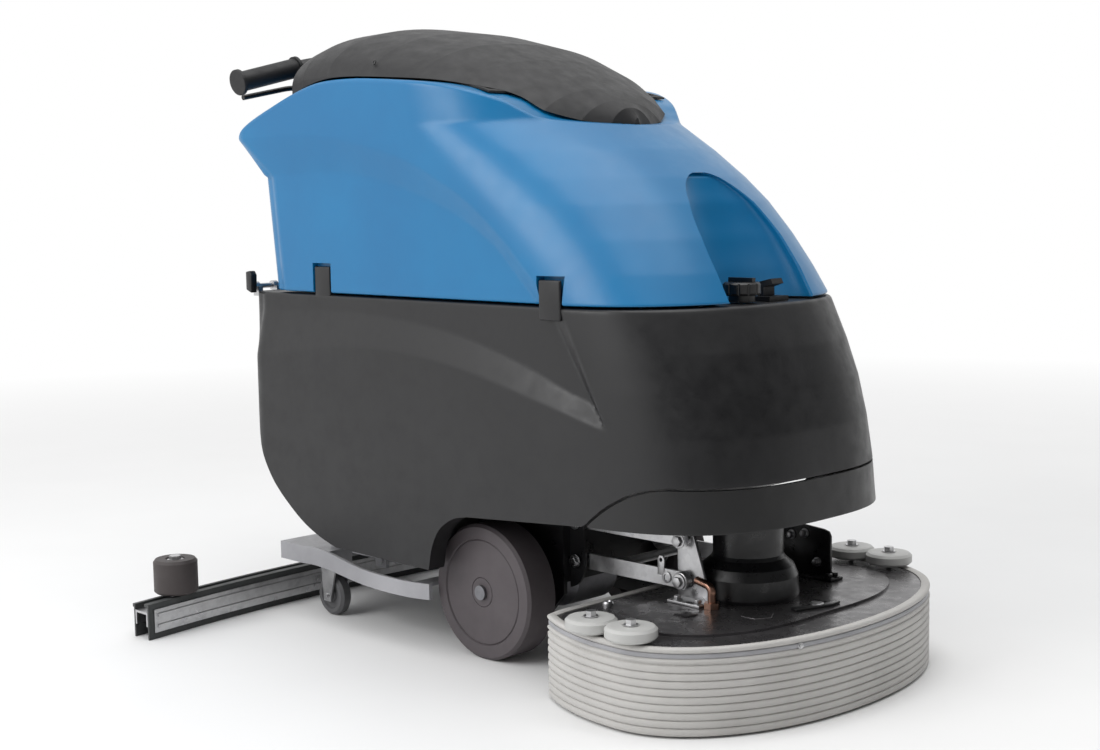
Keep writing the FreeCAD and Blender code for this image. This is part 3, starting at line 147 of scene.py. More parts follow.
def plated(name, base, light, rough, streaks=(1.0, 1.0, 1.0), spangle=0.0):
    """Bare or plated metal with fine drawn streaks, smudges and, if asked, galvanised flakes."""
    n = Nodes(name)
    smudge = n.noise(22.0, 5.0, 0.65)
    tone = n.mix(n.span(smudge, 0.35, 0.7), base, light)
    if spangle:
        flakes = n.add("ShaderNodeTexVoronoi", {"Vector": n.place, "Scale": 110.0})
        flake_tone = n.add("ShaderNodeSeparateColor", {0: flakes.outputs["Color"]}).outputs[0]
        tone = n.mix(n.span(flake_tone, 0.0, 1.0, 0.0, spangle), tone, light)
    n.link(tone, "Base Color")
    n.shader.inputs["Metallic"].default_value = 1.0
    lines = n.noise(500.0, 3.0, 0.6, n.stretched(streaks))
    n.link(n.span(smudge, 0.3, 0.7, rough - 0.08, rough + 0.12), "Roughness")
    n.link(n.bump(lines, 0.00005), "Normal")
    return n.material


MATERIALS = {
    "body_plastic": moulded("body_plastic", colour(17, 17, 19), colour(22, 22, 24), 0.42, 1100.0, 0.00006),
    "tank_plastic": moulded("tank_plastic", colour(0, 104, 156), colour(0, 110, 162), 0.36, 700.0, 0.00002, 0.04,
                            0.0001, 0.05, 0.0),
    "lid_plastic": moulded("lid_plastic", colour(22, 22, 24), colour(28, 28, 30), 0.55, 900.0, 0.00015),
    "fascia_plastic": moulded("fascia_plastic", colour(12, 12, 13), colour(17, 17, 18), 0.36, 900.0, 0.00005),
    "black_steel": painted("black_steel", colour(18, 18, 20), colour(30, 30, 32), 0.34),
    "grey_paint": painted("grey_paint", colour(150, 150, 154), colour(168, 168, 172), 0.45, 0.0, 0.0001),
    "deck_paint": painted("deck_paint", colour(92, 90, 92), colour(102, 100, 102), 0.30, 0.75, 0.00005, 0.1,
                          colour(130, 128, 126)),
    "zinc": plated("zinc", colour(170, 170, 172), colour(205, 205, 206), 0.32, (1.0, 8.0, 8.0), 0.5),
    "wheel_rubber": moulded("wheel_rubber", colour(72, 66, 69), colour(84, 78, 81), 0.62, 500.0, 0.0001),
    "caster_rubber": moulded("caster_rubber", colour(78, 78, 80), colour(92, 92, 94), 0.55, 500.0, 0.0001),
    "skirt_rubber": moulded("skirt_rubber", colour(178, 176, 173), colour(192, 190, 187), 0.58, 600.0, 0.00008),
    "blade_rubber": moulded("blade_rubber", colour(48, 50, 50), colour(62, 64, 64), 0.6, 500.0, 0.0001),
    "roller_plastic": moulded("roller_plastic", colour(176, 176, 174), colour(190, 190, 188), 0.48, 700.0, 0.00006),
    "end_roller_rubber": moulded("end_roller_rubber", colour(58, 52, 52), colour(72, 66, 65), 0.6, 500.0, 0.0001),
    "bristle_plastic": moulded("bristle_plastic", colour(60, 90, 140), colour(80, 110, 160), 0.6, 1500.0, 0.0005),
    "brass": plated("brass", colour(150, 112, 96), colour(184, 148, 130), 0.28),
    "battery_plastic": moulded("battery_plastic", colour(28, 28, 30), colour(38, 38, 40), 0.5),
    "float_plastic": moulded("float_plastic", colour(200, 200, 196), colour(216, 216, 212), 0.4),
    "panel_plastic": moulded("panel_plastic", colour(22, 22, 24), colour(32, 32, 34), 0.35),
    "button_green": moulded("button_green", colour(30, 140, 70), colour(44, 160, 84), 0.4),
    "button_blue": moulded("button_blue", colour(30, 90, 170), colour(44, 106, 186), 0.4),
    "button_grey": moulded("button_grey", colour(120, 120, 124), colour(140, 140, 144), 0.4),
    "seal_rubber": moulded("seal_rubber", colour(22, 22, 22), colour(32, 32, 32), 0.7),
    "alloy": plated("alloy", colour(120, 120, 124), colour(150, 150, 154), 0.42),
}

for part in frame["record"]["subparts"]:
    node = frame["nodes"][part["node"]]
    node.data.materials.clear()
    node.data.materials.append(MATERIALS[part["material_slot"]])


# Mesh helpers.

def smooth_line(points, steps=10):
    """Points along a smooth curve through the given ones (Catmull-Rom)."""
    p = np.array(points, float)
    p = np.vstack([2 * p[0] - p[1], p, 2 * p[-1] - p[-2]])
    t = np.linspace(0, 1, steps, endpoint=False)[:, None]
    runs = []
    for a, b, c, d in zip(p, p[1:], p[2:], p[3:]):
        runs.append(0.5 * (2 * b + (c - a) * t + (2 * a - 5 * b + 4 * c - d) * t ** 2
                           + (3 * b - a - 3 * c + d) * t ** 3))
    return np.vstack(runs + [p[-2:-1]])


def placed(points):
    """Axle-frame millimetres to row-frame metres."""
    p = np.array(points, float).reshape(-1, 3).copy()
    p[:, 0] += AXLE_X
    return p * MM


def new_object(name, points, faces):
    mesh = bpy.data.meshes.new(name)
    mesh.from_pydata(placed(points).tolist(), [], [tuple(int(i) for i in f) for f in faces])
    mesh.validate()
    made = bpy.data.objects.new(name, mesh)
    bpy.context.scene.collection.objects.link(made)
    return made


def outward(thing):
    """Turns all faces of a closed mesh outwards."""
    b = bmesh.new()
    b.from_mesh(thing.data)
    bmesh.ops.remove_doubles(b, verts=b.verts, dist=1e-6)
    bmesh.ops.recalc_face_normals(b, faces=b.faces)
    b.to_mesh(thing.data)
    b.free()
    return thing


def applied(thing):
    """Replaces an object's mesh by what its modifiers make of it."""
    graph = bpy.context.evaluated_depsgraph_get()
    mesh = bpy.data.meshes.new_from_object(thing.evaluated_get(graph))
    thing.modifiers.clear()
    thing.data = mesh
    return thing


def carve(thing, cutters, operation="DIFFERENCE"):
    for cutter in cutters:
        cut = thing.modifiers.new("cut", "BOOLEAN")
        cut.solver = "EXACT"
        cut.operation = operation
        cut.object = cutter
        applied(thing)
        bpy.data.objects.remove(cutter)
    return thing


def piece(thing, body, slot, replaces=(), sharp=32.0):
    """Gives a finished mesh its shading, material, body and CAD nodes."""
    thing.data.materials.clear()
    thing.data.materials.append(MATERIALS[slot])
    thing.data.shade_smooth()
    thing.data.set_sharp_from_angle(angle=math.radians(sharp))
    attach(thing, body)
    if replaces:
        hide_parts(*replaces)
    return thing


def bevelled(thing, width, angle=40.0, segments=3):
    edge = thing.modifiers.new("edge", "BEVEL")
    edge.width = width * MM
    edge.segments = segments
    edge.limit_method = "ANGLE"
    edge.angle_limit = math.radians(angle)
    return applied(thing)


def join(main, *others):
    """Adds the meshes of other objects to main."""
    b = bmesh.new()
    b.from_mesh(main.data)
    for other in others:
        b.from_mesh(other.data)
        bpy.data.objects.remove(other)
    b.to_mesh(main.data)
    b.free()
    return main


def block(x0, x1, y0, y1, z0, z1):
    """Plain box for cutting with."""
    corners = [(x, y, z) for x in (x0, x1) for y in (y0, y1) for z in (z0, z1)]
    faces = [(0, 1, 3, 2), (4, 6, 7, 5), (0, 4, 5, 1), (2, 3, 7, 6), (0, 2, 6, 4), (1, 5, 7, 3)]
    return outward(new_object("block", corners, faces))


def slab(outline, y0, y1, name="slab"):
    """Solid between two crosswise planes from a closed side-view outline."""
    n = len(outline)
    points = [(x, y, z) for y in (y0, y1) for x, z in outline]
    faces = [tuple(range(n)), tuple(range(2 * n - 1, n - 1, -1))]
    faces += [(i, (i + 1) % n, n + (i + 1) % n, n + i) for i in range(n)]
    return outward(new_object(name, points, faces))


# The moulded shells of the body and the recovery tank.
# Levels: height, nose, start of the nose curve, exponent of the curve.
HALF_WIDTH = 281.0
REAR_CORNER = 45.0
JOINT_Z = 610.0
BODY_LEVELS = np.array([
    (140, 546, 250, 2.8), (281, 546, 250, 2.8), (351, 539, 245, 2.8), (419, 529, 235, 2.75),
    (483, 513, 225, 2.7), (542, 490, 212, 2.65), (610, 455, 200, 2.6)], float)
TANK_LEVELS = np.array([
    (610, 453, 200, 2.6), (660, 427, 149, 2.5), (713, 393, 94, 2.39), (767, 349, 39, 2.28),
    (808, 303, -3, 2.19), (854, 239, -50, 2.1), (903, 158, -100, 2.0), (1000, 110, -120, 2.0)], float)
TANK_REAR = np.array([(-520, 610), (-545, 823), (-583, 857), (-622, 893)], float)
TANK_RIM = smooth_line([
    (-622, 893), (-560, 925), (-478, 953), (-406, 974), (-340, 986), (-250, 987), (-150, 980), (-60, 971),
    (-5, 960), (52, 941), (83, 921), (115, 904), (200, 892)])
PANEL_DEPTH = 15.0
TANK_UPPER = smooth_line([
    (-700, 893), (-586, 894), (-512, 896), (-390, 894), (-302, 887), (-209, 869), (-121, 848), (-37, 815),
    (44, 774), (121, 719), (166, 678), (198, 648), (260, 588)])
TANK_LOWER = smooth_line([
    (-700, 822), (-545, 824), (-393, 828), (-305, 826), (-202, 812), (-106, 789), (-22, 761), (43, 732),
    (104, 693), (149, 651), (186, 616), (230, 572)])
BODY_UPPER = smooth_line([
    (-700, 572), (-525, 577), (-297, 583), (-119, 573), (33, 550), (161, 515), (250, 482), (292, 469), (360, 446)])
BODY_LOWER = smooth_line([
    (-700, 486), (-530, 493), (-374, 513), (-229, 521), (-95, 515), (31, 498), (160, 470), (249, 451), (303, 438),
    (360, 424)])
BODY_DIAGONAL = ((209, 614), (303, 470))
BODY_DIAGONAL_OUT = ((252, 614), (333, 440))


def soft_step(share, softness=0.03):
    """0 below 0 and 1 above 1, with rounded corners."""
    return 0.5 * (1 + np.sqrt(share ** 2 + softness ** 2) - np.sqrt((share - 1) ** 2 + softness ** 2))


def rounding(distance, radius):
    """How far a surface draws in beside an edge rounded to a radius."""
    d = np.clip(distance, 0, radius)
    return radius - np.sqrt(radius ** 2 - (radius - d) ** 2)


def nose_angles(count):
    """Angles that space the points of a nose curve evenly."""
    a = np.linspace(math.pi / 2, 0, 3000)
    x = 250 * np.cos(a) ** (2 / 2.45)
    y = HALF_WIDTH * np.sin(a) ** (2 / 2.45)
    run = np.concatenate([[0], np.cumsum(np.hypot(np.diff(x), np.diff(y)))])
    return np.interp(np.linspace(0, run[-1], count + 1)[1:], run, a)


class Shell:
    """Half outline of a shell, from the middle of the back round to the middle of the nose."""

    def __init__(self, levels, rear, back, corner, side, nose, inset=0.0):
        self.levels, self.rear, self.inset = levels, rear, inset
        self.back = back
        self.kind = np.concatenate([np.zeros(back + 1), np.ones(corner), np.full(side, 2), np.full(nose, 3)])
        self.t = np.concatenate([np.linspace(0, 1, back + 1), np.arange(1, corner + 1) / corner,
                                 np.arange(1, side + 1) / side, nose_angles(nose)])

    def plan(self, z):
        """x, y of every column at its own height z."""
        k, t = self.kind, self.t
        rear = np.interp(z, self.rear[:, 1], self.rear[:, 0]) + self.inset
        level = [np.interp(z, self.levels[:, 0], self.levels[:, i]) for i in (1, 2, 3)]
        front, start, power = level[0] - self.inset, level[1], level[2]
        width = HALF_WIDTH - self.inset
        r = REAR_CORNER - min(self.inset, 30.0)
        turn = t * math.pi / 2
        cos, sin = np.cos(np.where(k == 3, t, 0)), np.sin(np.where(k == 3, t, 0))
        x = np.select([k == 0, k == 1, k == 2], [rear, rear + r * (1 - np.sin(turn)), rear + r + t * (start - rear - r)],
                      start + (front - start) * np.abs(cos) ** (2 / power))
        y = np.select([k == 0, k == 1, k == 2], [t * (width - r), width - r * (1 - np.sin(turn)), width + 0 * t],
                      width * np.abs(sin) ** (2 / power))
        x = np.where(k == 1, rear + r * (1 - np.sin(turn)), x)
        y = np.where(k == 1, width - r + r * (1 - np.cos(turn)) * 0 + 0 * t, y)
        corner_x = rear + r - r * np.cos(turn)
        corner_y = width - r + r * np.sin(turn)
        return np.where(k == 1, corner_x, x), np.where(k == 1, corner_y, y)

    def top(self, height_at):
        """Height at which each column meets the top edge."""
        low = np.full(len(self.t), 560.0)
        high = np.full(len(self.t), 1000.0)
        for _ in range(40):
            middle = (low + high) / 2
            above = middle > height_at(self.plan(middle)[0])
            high = np.where(above, middle, high)
            low = np.where(above, low, middle)
        return (low + high) / 2

    def mesh(self, name, bottom, top, rows, draw_in=None, edge_rows=()):
        """Closed mesh between a bottom height and a top height per column. draw_in(x, z, top, normal) is how far
        the wall moves inwards there."""
        n = len(self.t)
        shares = np.linspace(0, 1, rows + 1)
        top = np.broadcast_to(top, n).astype(float)
        z = bottom + shares[:, None] * (top - bottom)
        for near in edge_rows:
            z = np.vstack([z, np.minimum(top - near, top)[None], np.full((1, n), bottom + near)])
        z = np.sort(z, axis=0)
        x = np.empty_like(z)
        y = np.empty_like(z)
        for i, row in enumerate(z):
            x[i], y[i] = self.plan(row)
        if draw_in is not None:
            p = np.stack([x, y, z], -1)
            along = np.gradient(p, axis=1)
            upward = np.gradient(p, axis=0)
            normal = np.cross(along, upward)
            length = np.linalg.norm(normal, axis=-1, keepdims=True)
            normal = normal / np.maximum(length, 1e-9)
            normal *= np.where(normal[:, n // 2:n // 2 + 1, 1:2] < 0, -1, 1)
            normal[..., 2] = 0
            move = draw_in(x, z, top[None], normal)
            x = x - normal[..., 0] * move
            y = np.maximum(y - normal[..., 1] * move, 0)
            y[:, 0] = 0
            y[:, -1] = 0
        m = len(z)
        left = np.stack([x, y, z], -1)
        right = left[:, 1:-1] * (1, -1, 1)
        ring = 2 * n - 2
        points = np.concatenate([left, right[:, ::-1]], axis=1).reshape(-1, 3)
        index = np.arange(m * ring).reshape(m, ring)
        faces = []
        a, b = index[:-1], index[1:]
        quads = np.stack([a, np.roll(a, -1, 1), np.roll(b, -1, 1), b], -1).reshape(-1, 4)
        faces.extend(quads.tolist())
        points = points.tolist()
        for row in (0, m - 1):
            self.cap(points, faces, index[row])
        return outward(new_object(name, points, faces))

    def cap(self, points, faces, ring):
        """Fills the loop of one row with strips that run across from side to side."""
        n, back = len(self.t), self.back
        across = np.concatenate([-self.t[1:back + 1][::-1], [0.0], self.t[1:back + 1]])
        left = list(ring[:n])
        right = [ring[0]] + [ring[-i] for i in range(1, n - 1)] + [ring[n - 1]]
        before = [right[back - i] for i in range(back)] + [left[0]] + [left[i] for i in range(1, back + 1)]
        for column in range(back + 1, n):
            if column == n - 1:
                for j in range(2 * back):
                    faces.append((before[j], before[j + 1], left[column]))
                break
            x, y, z = points[left[column]]
            row = [right[column]]
            for share in across[1:-1]:
                points.append([x, y * share, z])
                row.append(len(points) - 1)
            row.append(left[column])
            for j in range(2 * back):
                faces.append((before[j], before[j + 1], row[j + 1], row[j]))
            before = row


def band(x, z, upper, lower):
    """0 at the lower curve and under it, 1 at the upper curve and over it."""
    low = np.interp(x, lower[:, 0], lower[:, 1])
    high = np.interp(x, upper[:, 0], upper[:, 1])
    return (z - low) / np.maximum(high - low, 12.0)


def sidewards(normal):
    """1 on the flat sides, fading out round the corners."""
    s = np.clip((np.abs(normal[..., 1]) - 0.35) / 0.5, 0, 1)
    return s * s * (3 - 2 * s)


def tank_draw_in(x, z, top, normal):
    share = soft_step(band(x, z, TANK_UPPER, TANK_LOWER))
    return (PANEL_DEPTH * (1 - share) * sidewards(normal) + rounding(top - z, 7.0) * sidewards(normal)
            + rounding(z - JOINT_Z - 4.0, 4.0))


def body_draw_in(x, z, top, normal):
    above = soft_step(band(x, z, BODY_UPPER, BODY_LOWER))
    (x0, z0), (x1, z1) = BODY_DIAGONAL
    inner = x0 + (z0 - z) * (x1 - x0) / (z0 - z1)
    (x0, z0), (x1, z1) = BODY_DIAGONAL_OUT
    outer = x0 + (z0 - z) * (x1 - x0) / (z0 - z1)
    behind = soft_step((outer - x) / (outer - inner))
    return PANEL_DEPTH * np.minimum(above, behind) * sidewards(normal) + rounding(top - z, 5.0)


def surface_x(levels, y, z):
    front, start, power = (np.interp(z, levels[:, 0], levels[:, i]) for i in (1, 2, 3))
    return start + (front - start) * (1 - abs(y / HALF_WIDTH) ** power) ** (1 / power)


RECESS_HALF = 103.0
RECESS_HEIGHT = 208.0
RECESS_DEPTH = 72.0
RECESS_EDGE = 7.0           # rounding of the recess's rim


def recess_cutter():
    """Arch-shaped scoop with a rounded rim."""
    shares = np.concatenate([np.linspace(-0.02, 0.9, 24), np.linspace(0.92, 0.995, 8)])
    points = []
    count = 0
    for share in shares:
        z = JOINT_Z - 2.0 + share * RECESS_HEIGHT
        clipped = max(share, 0.0)
        half = RECESS_HALF * math.sqrt(1 - clipped ** 3)
        depth = RECESS_DEPTH * (1 - clipped ** 2) + 4.0
        rim_x = surface_x(TANK_LEVELS, half, z) + 1.0
        row = [(rim_x + 120, half + RECESS_EDGE), (rim_x + 2, half + RECESS_EDGE)]
        for i in range(1, 7):
            a = math.radians(15 * i)
            row.append((rim_x - RECESS_EDGE * (1 - math.cos(a)), half + RECESS_EDGE * (1 - math.sin(a))))
        inner = depth - RECESS_EDGE if depth > RECESS_EDGE + 3 else 3.0
        for i in range(1, 19):
            a = math.radians(90 - 5 * i)
            row.append((rim_x - RECESS_EDGE - inner * math.cos(a), half * math.sin(a)))
        row += [(x, -y) for x, y in row[-2::-1]]
        count = len(row)
        points += [(x, y, z) for x, y in row]
    m = len(shares)
    faces = []
    for r in range(m - 1):
        for i in range(count):
            j = (i + 1) % count
            faces.append((r * count + i, r * count + j, (r + 1) * count + j, (r + 1) * count + i))
    faces += [tuple(range(count)), tuple(range((m - 1) * count, m * count))]
    return outward(new_object("recess", points, faces))


def recovery_tank():
    shell = Shell(TANK_LEVELS, TANK_REAR, 10, 10, 150, 90)
    top = shell.top(lambda x: np.interp(x, TANK_RIM[:, 0], TANK_RIM[:, 1]))
    floor_z = JOINT_Z + 4.0
    tank = shell.mesh("recovery_tank_shell", floor_z, top, 76, tank_draw_in, (0.5, 1.6, 3.4, 6.0))
    inner = Shell(TANK_LEVELS, TANK_REAR, 4, 4, 30, 20, inset=32.0)
    inner_top = inner.top(lambda x: np.interp(x, TANK_RIM[:, 0], TANK_RIM[:, 1]) - 11.0)
    cavity = inner.mesh("cavity", 640.0, inner_top, 12)
    carve(cavity, [block(230, 700, -117, 117, 600, 840)])
    cutters = [recess_cutter(), cavity, block(-400, 10, -195, 195, 900, 1010)]
    for side in (-1, 1):
        rear_low, rear_high = sorted((side * 255, side * 300))
        front_low, front_high = sorted((side * 262, side * 300))
        cutters.append(block(-394, -341, rear_low, rear_high, 600, 667))
        cutters.append(block(200, 254, front_low, front_high, 600, 659))
    carve(tank, cutters)
    return piece(tank, "tank", "tank_plastic", ("recovery_tank",), 38.0)


BODY_REAR = np.array([(-587, 100), (-587, 620)], float)
TAIL = smooth_line([(-330, 155), (-379, 169), (-429, 191), (-481, 226), (-518, 259), (-546, 300), (-562, 341),
                    (-572, 400), (-586, 500), (-588, 612)], 6)
ARCH = smooth_line([(27, 257), (-9, 249), (-44, 226), (-64, 192), (-73, 153)], 6)
FASCIA_LINE = smooth_line([(299, 281), (318, 297), (345, 316), (386, 337), (434, 348)], 6)


def solution_tank():
    shell = Shell(BODY_LEVELS, BODY_REAR, 10, 10, 160, 100)
    body = shell.mesh("body_shell", 140.0, JOINT_Z, 104, body_draw_in, (0.5, 1.6, 3.4))
    outline = [tuple(p) for p in TAIL]
    outline += [(-588, 640), (700, 640), (700, 348)]
    outline += [tuple(p) for p in FASCIA_LINE[::-1]] + [(290, 276)]
    outline += [tuple(p) for p in ARCH]
    carve(body, [slab(outline, -300, 300)], "INTERSECT")
    inner = Shell(BODY_LEVELS, BODY_REAR, 4, 4, 30, 20, inset=24.0)
    room = inner.mesh("room", 141.0, 600.0, 10)
    hollow = [(-560, 600), (-557, 480), (-545, 390), (-520, 310), (-470, 240), (-405, 192), (-148, 192), (-148, 272),
              (280, 288), (400, 364), (500, 372), (500, 600)]
    carve(room, [slab(hollow, -290, 290)], "INTERSECT")
    cutters = [room, block(-440, 330, -200, 200, 590, 640)]
    for side in (-1, 1):
        low, high = sorted((side * 150, side * 246))
        arc = [(134 * math.cos(math.radians(5 * i)), 116.25 + 134 * math.sin(math.radians(5 * i))) for i in range(72)]
        cutters.append(slab(arc, low, high))
    carve(body, cutters)
    for side in (-1, 1):
        for x0, x1, out, top in ((-391, -347, 265.0, 661), (203, 250, 279.5, 653)):
            low, high = sorted((side * (out - 7.0), side * out))
            tab = bevelled(block(x0, x1, low, high, 590, top), 3.0)
            join(body, tab)
    return piece(body, "chassis", "body_plastic", ("solution_tank",), 38.0)


# Brush deck.
DECK_CENTRE_X = 419.4
DECK_REAR_X = 232.0
DECK_HALF_WIDTH = 350.0
DECK_FRONT_REACH = 206.0
DECK_REAR_REACH = 340.0
DECK_SQUARENESS = 2.1
PLATFORM_Z = 136.0


def deck_outline(count=220):
    """Points and outward directions round the deck's rim, with its straight rear edge."""
    t = np.radians(np.linspace(-128, 128, 400))
    reach = np.where(np.cos(t) > 0, DECK_FRONT_REACH, DECK_REAR_REACH)
    along = abs(np.cos(t) / reach) ** DECK_SQUARENESS
    across = abs(np.sin(t) / DECK_HALF_WIDTH) ** DECK_SQUARENESS
    r = (along + across) ** (-1.0 / DECK_SQUARENESS)
    x, y = DECK_CENTRE_X + r * np.cos(t), r * np.sin(t)
    keep = x > DECK_REAR_X + 6.0
    x, y = x[keep], y[keep]
    x = np.concatenate([[DECK_REAR_X], x, [DECK_REAR_X]])
    y = np.concatenate([[y[0] + 34.0], y, [y[-1] - 34.0]])
    loop = smooth_line(np.stack([x, y], 1), 3)
    loop = np.vstack([loop, np.linspace(loop[-1], loop[0], 60)[1:-1]])
    closed = np.vstack([loop, loop[:1]])
    run = np.concatenate([[0], np.cumsum(np.hypot(*np.diff(closed, axis=0).T))])
    even = np.linspace(0, run[-1], count, endpoint=False)
    points = np.stack([np.interp(even, run, closed[:, i]) for i in (0, 1)], 1)
    ahead = np.roll(points, -1, 0) - np.roll(points, 1, 0)
    ahead = sum(np.roll(ahead, k, 0) for k in (-2, -1, 0, 1, 2))
    normal = np.stack([ahead[:, 1], -ahead[:, 0]], 1)
    return points, normal / np.linalg.norm(normal, axis=1, keepdims=True)


def rim_sweep(name, profile):
    """Closed band round the deck from a closed (offset, z) profile."""
    points, normal = deck_outline()
    n, m = len(points), len(profile)
    vertices = [(*(points[i] + normal[i] * out), z) for i in range(n) for out, z in profile]
    faces = [(i * m + j, ((i + 1) % n) * m + j, ((i + 1) % n) * m + (j + 1) % m, i * m + (j + 1) % m)
             for i in range(n) for j in range(m)]
    return outward(new_object(name, vertices, faces))


def bead(out, z0, z1, depth, steps=5):
    """Rounded bead of a profile between two heights."""
    middle, half = (z0 + z1) / 2, (z1 - z0) / 2
    return [(out + depth * math.sin(a), middle - half * math.cos(a))
            for a in (math.pi * (i + 0.5) / steps for i in range(steps))]


def deck_skirt():
    """Ribbed rubber skirt: flat bands with narrow grooves, and two beads that hold the clamp band."""
    profile = [(-11.0, 3.0), (-1.0, 3.0)]
    ribs, pitch = 9, 11.7
    for i in range(ribs):
        z = 4.0 + pitch * i
        profile += [(-0.6, z), (1.6, z + 0.7), (2.5, z + 2.2), (2.2, z + 8.6), (1.4, z + 10.2), (-0.6, z + 11.0)]
    profile += bead(-1.0, 111.0, 118.0, 4.0) + [(-1.0, 118.5), (-1.0, 125.5)] + bead(-2.0, 126.0, 135.0, 5.0)
    profile += [(-8.0, 134.0), (-11.5, 133.0), (-11.5, 126.0), (-11.0, 100.0)]
    piece(rim_sweep("deck_skirt_band", profile), "deck", "skirt_rubber", ("deck_skirt",), 50.0)
    band = rim_sweep("skirt_clamp_band", [(-0.9, 118.8), (0.6, 118.8), (0.9, 119.6), (0.9, 124.4), (0.6, 125.2),
                                          (-0.9, 125.2)])
    piece(band, "deck", "grey_paint")


def turned(name, x, y, profile, segments=40):
    """Solid of revolution about a vertical axis from a (radius, z) profile that starts and ends on it."""
    ring = profile[1:-1]
    m = len(ring)
    points = [(x + r * math.cos(a), y + r * math.sin(a), z) for a in
              (2 * math.pi * i / segments for i in range(segments)) for r, z in ring]
    faces = [(i * m + j, ((i + 1) % segments) * m + j, ((i + 1) % segments) * m + j + 1, i * m + j + 1)
             for i in range(segments) for j in range(m - 1)]
    for end, j in ((profile[0], 0), (profile[-1], m - 1)):
        points.append((x, y, end[1]))
        faces += [(i * m + j, ((i + 1) % segments) * m + j, len(points) - 1) for i in range(segments)]
    return outward(new_object(name, points, faces))


def lying(thing, x, y, z, axis):
    """Moves a piece drawn upright at the origin to a point, with its own axis along another direction."""
    turn = Vector((0, 0, 1)).rotation_difference(Vector(axis)).to_matrix().to_4x4()
    home = Matrix.Translation(Vector((AXLE_X * MM, 0, 0)))
    target = Matrix.Translation(Vector(((x + AXLE_X) * MM, y * MM, z * MM)))
    thing.data.transform(target @ turn @ home.inverted())
    return thing


def hex_bolt(name, x, y, z, size=8.5, height=6.0, axis=(0, 0, 1), washer=True):
    """Hexagonal head with a chamfered top and a washer, drawn at the origin and put in place."""
    corners = [(size * math.cos(math.radians(60 * i)), size * math.sin(math.radians(60 * i))) for i in range(6)]
    points = [(a, b, 1.5) for a, b in corners] + [(a, b, 1.5 + height) for a, b in corners]
    faces = [tuple(range(6)), tuple(range(6, 12))] + [(i, (i + 1) % 6, 6 + (i + 1) % 6, 6 + i) for i in range(6)]
    bolt = bevelled(outward(new_object(name, points, faces)), 0.8, segments=2)
    if washer:
        disc = turned("washer", 0, 0, [(0, 0), (size * 1.35, 0), (size * 1.35, 1.2), (size * 1.25, 1.5), (0, 1.5)], 28)
        join(bolt, disc)
    return lying(bolt, x, y, z, axis)


def plate_piece(name, outline, y0, y1, edge=1.2):
    return bevelled(slab(outline, y0, y1, name), edge, 30.0, 2)


def spiral(name, radius, wire, turns, length, x, y, z, axis):
    """Round wire wound into a spring."""
    steps, sides = int(turns * 20), 8
    points = []
    for i in range(steps + 1):
        a = 2 * math.pi * turns * i / steps
        centre = (radius * math.cos(a), radius * math.sin(a), length * i / steps)
        for k in range(sides):
            b = 2 * math.pi * k / sides
            reach = radius + wire * math.cos(b)
            points.append((reach * math.cos(a), reach * math.sin(a), centre[2] + wire * math.sin(b)))
    faces = [(i * sides + k, i * sides + (k + 1) % sides, (i + 1) * sides + (k + 1) % sides, (i + 1) * sides + k)
             for i in range(steps) for k in range(sides)]
    faces += [tuple(range(sides)), tuple(range(steps * sides, (steps + 1) * sides))]
    return lying(outward(new_object(name, points, faces)), x, y, z, axis)


LINK_REAR_X, LINK_FRONT_X, LINK_Z, LINK_RISE = 112.0, 341.0, 168.0, 66.0


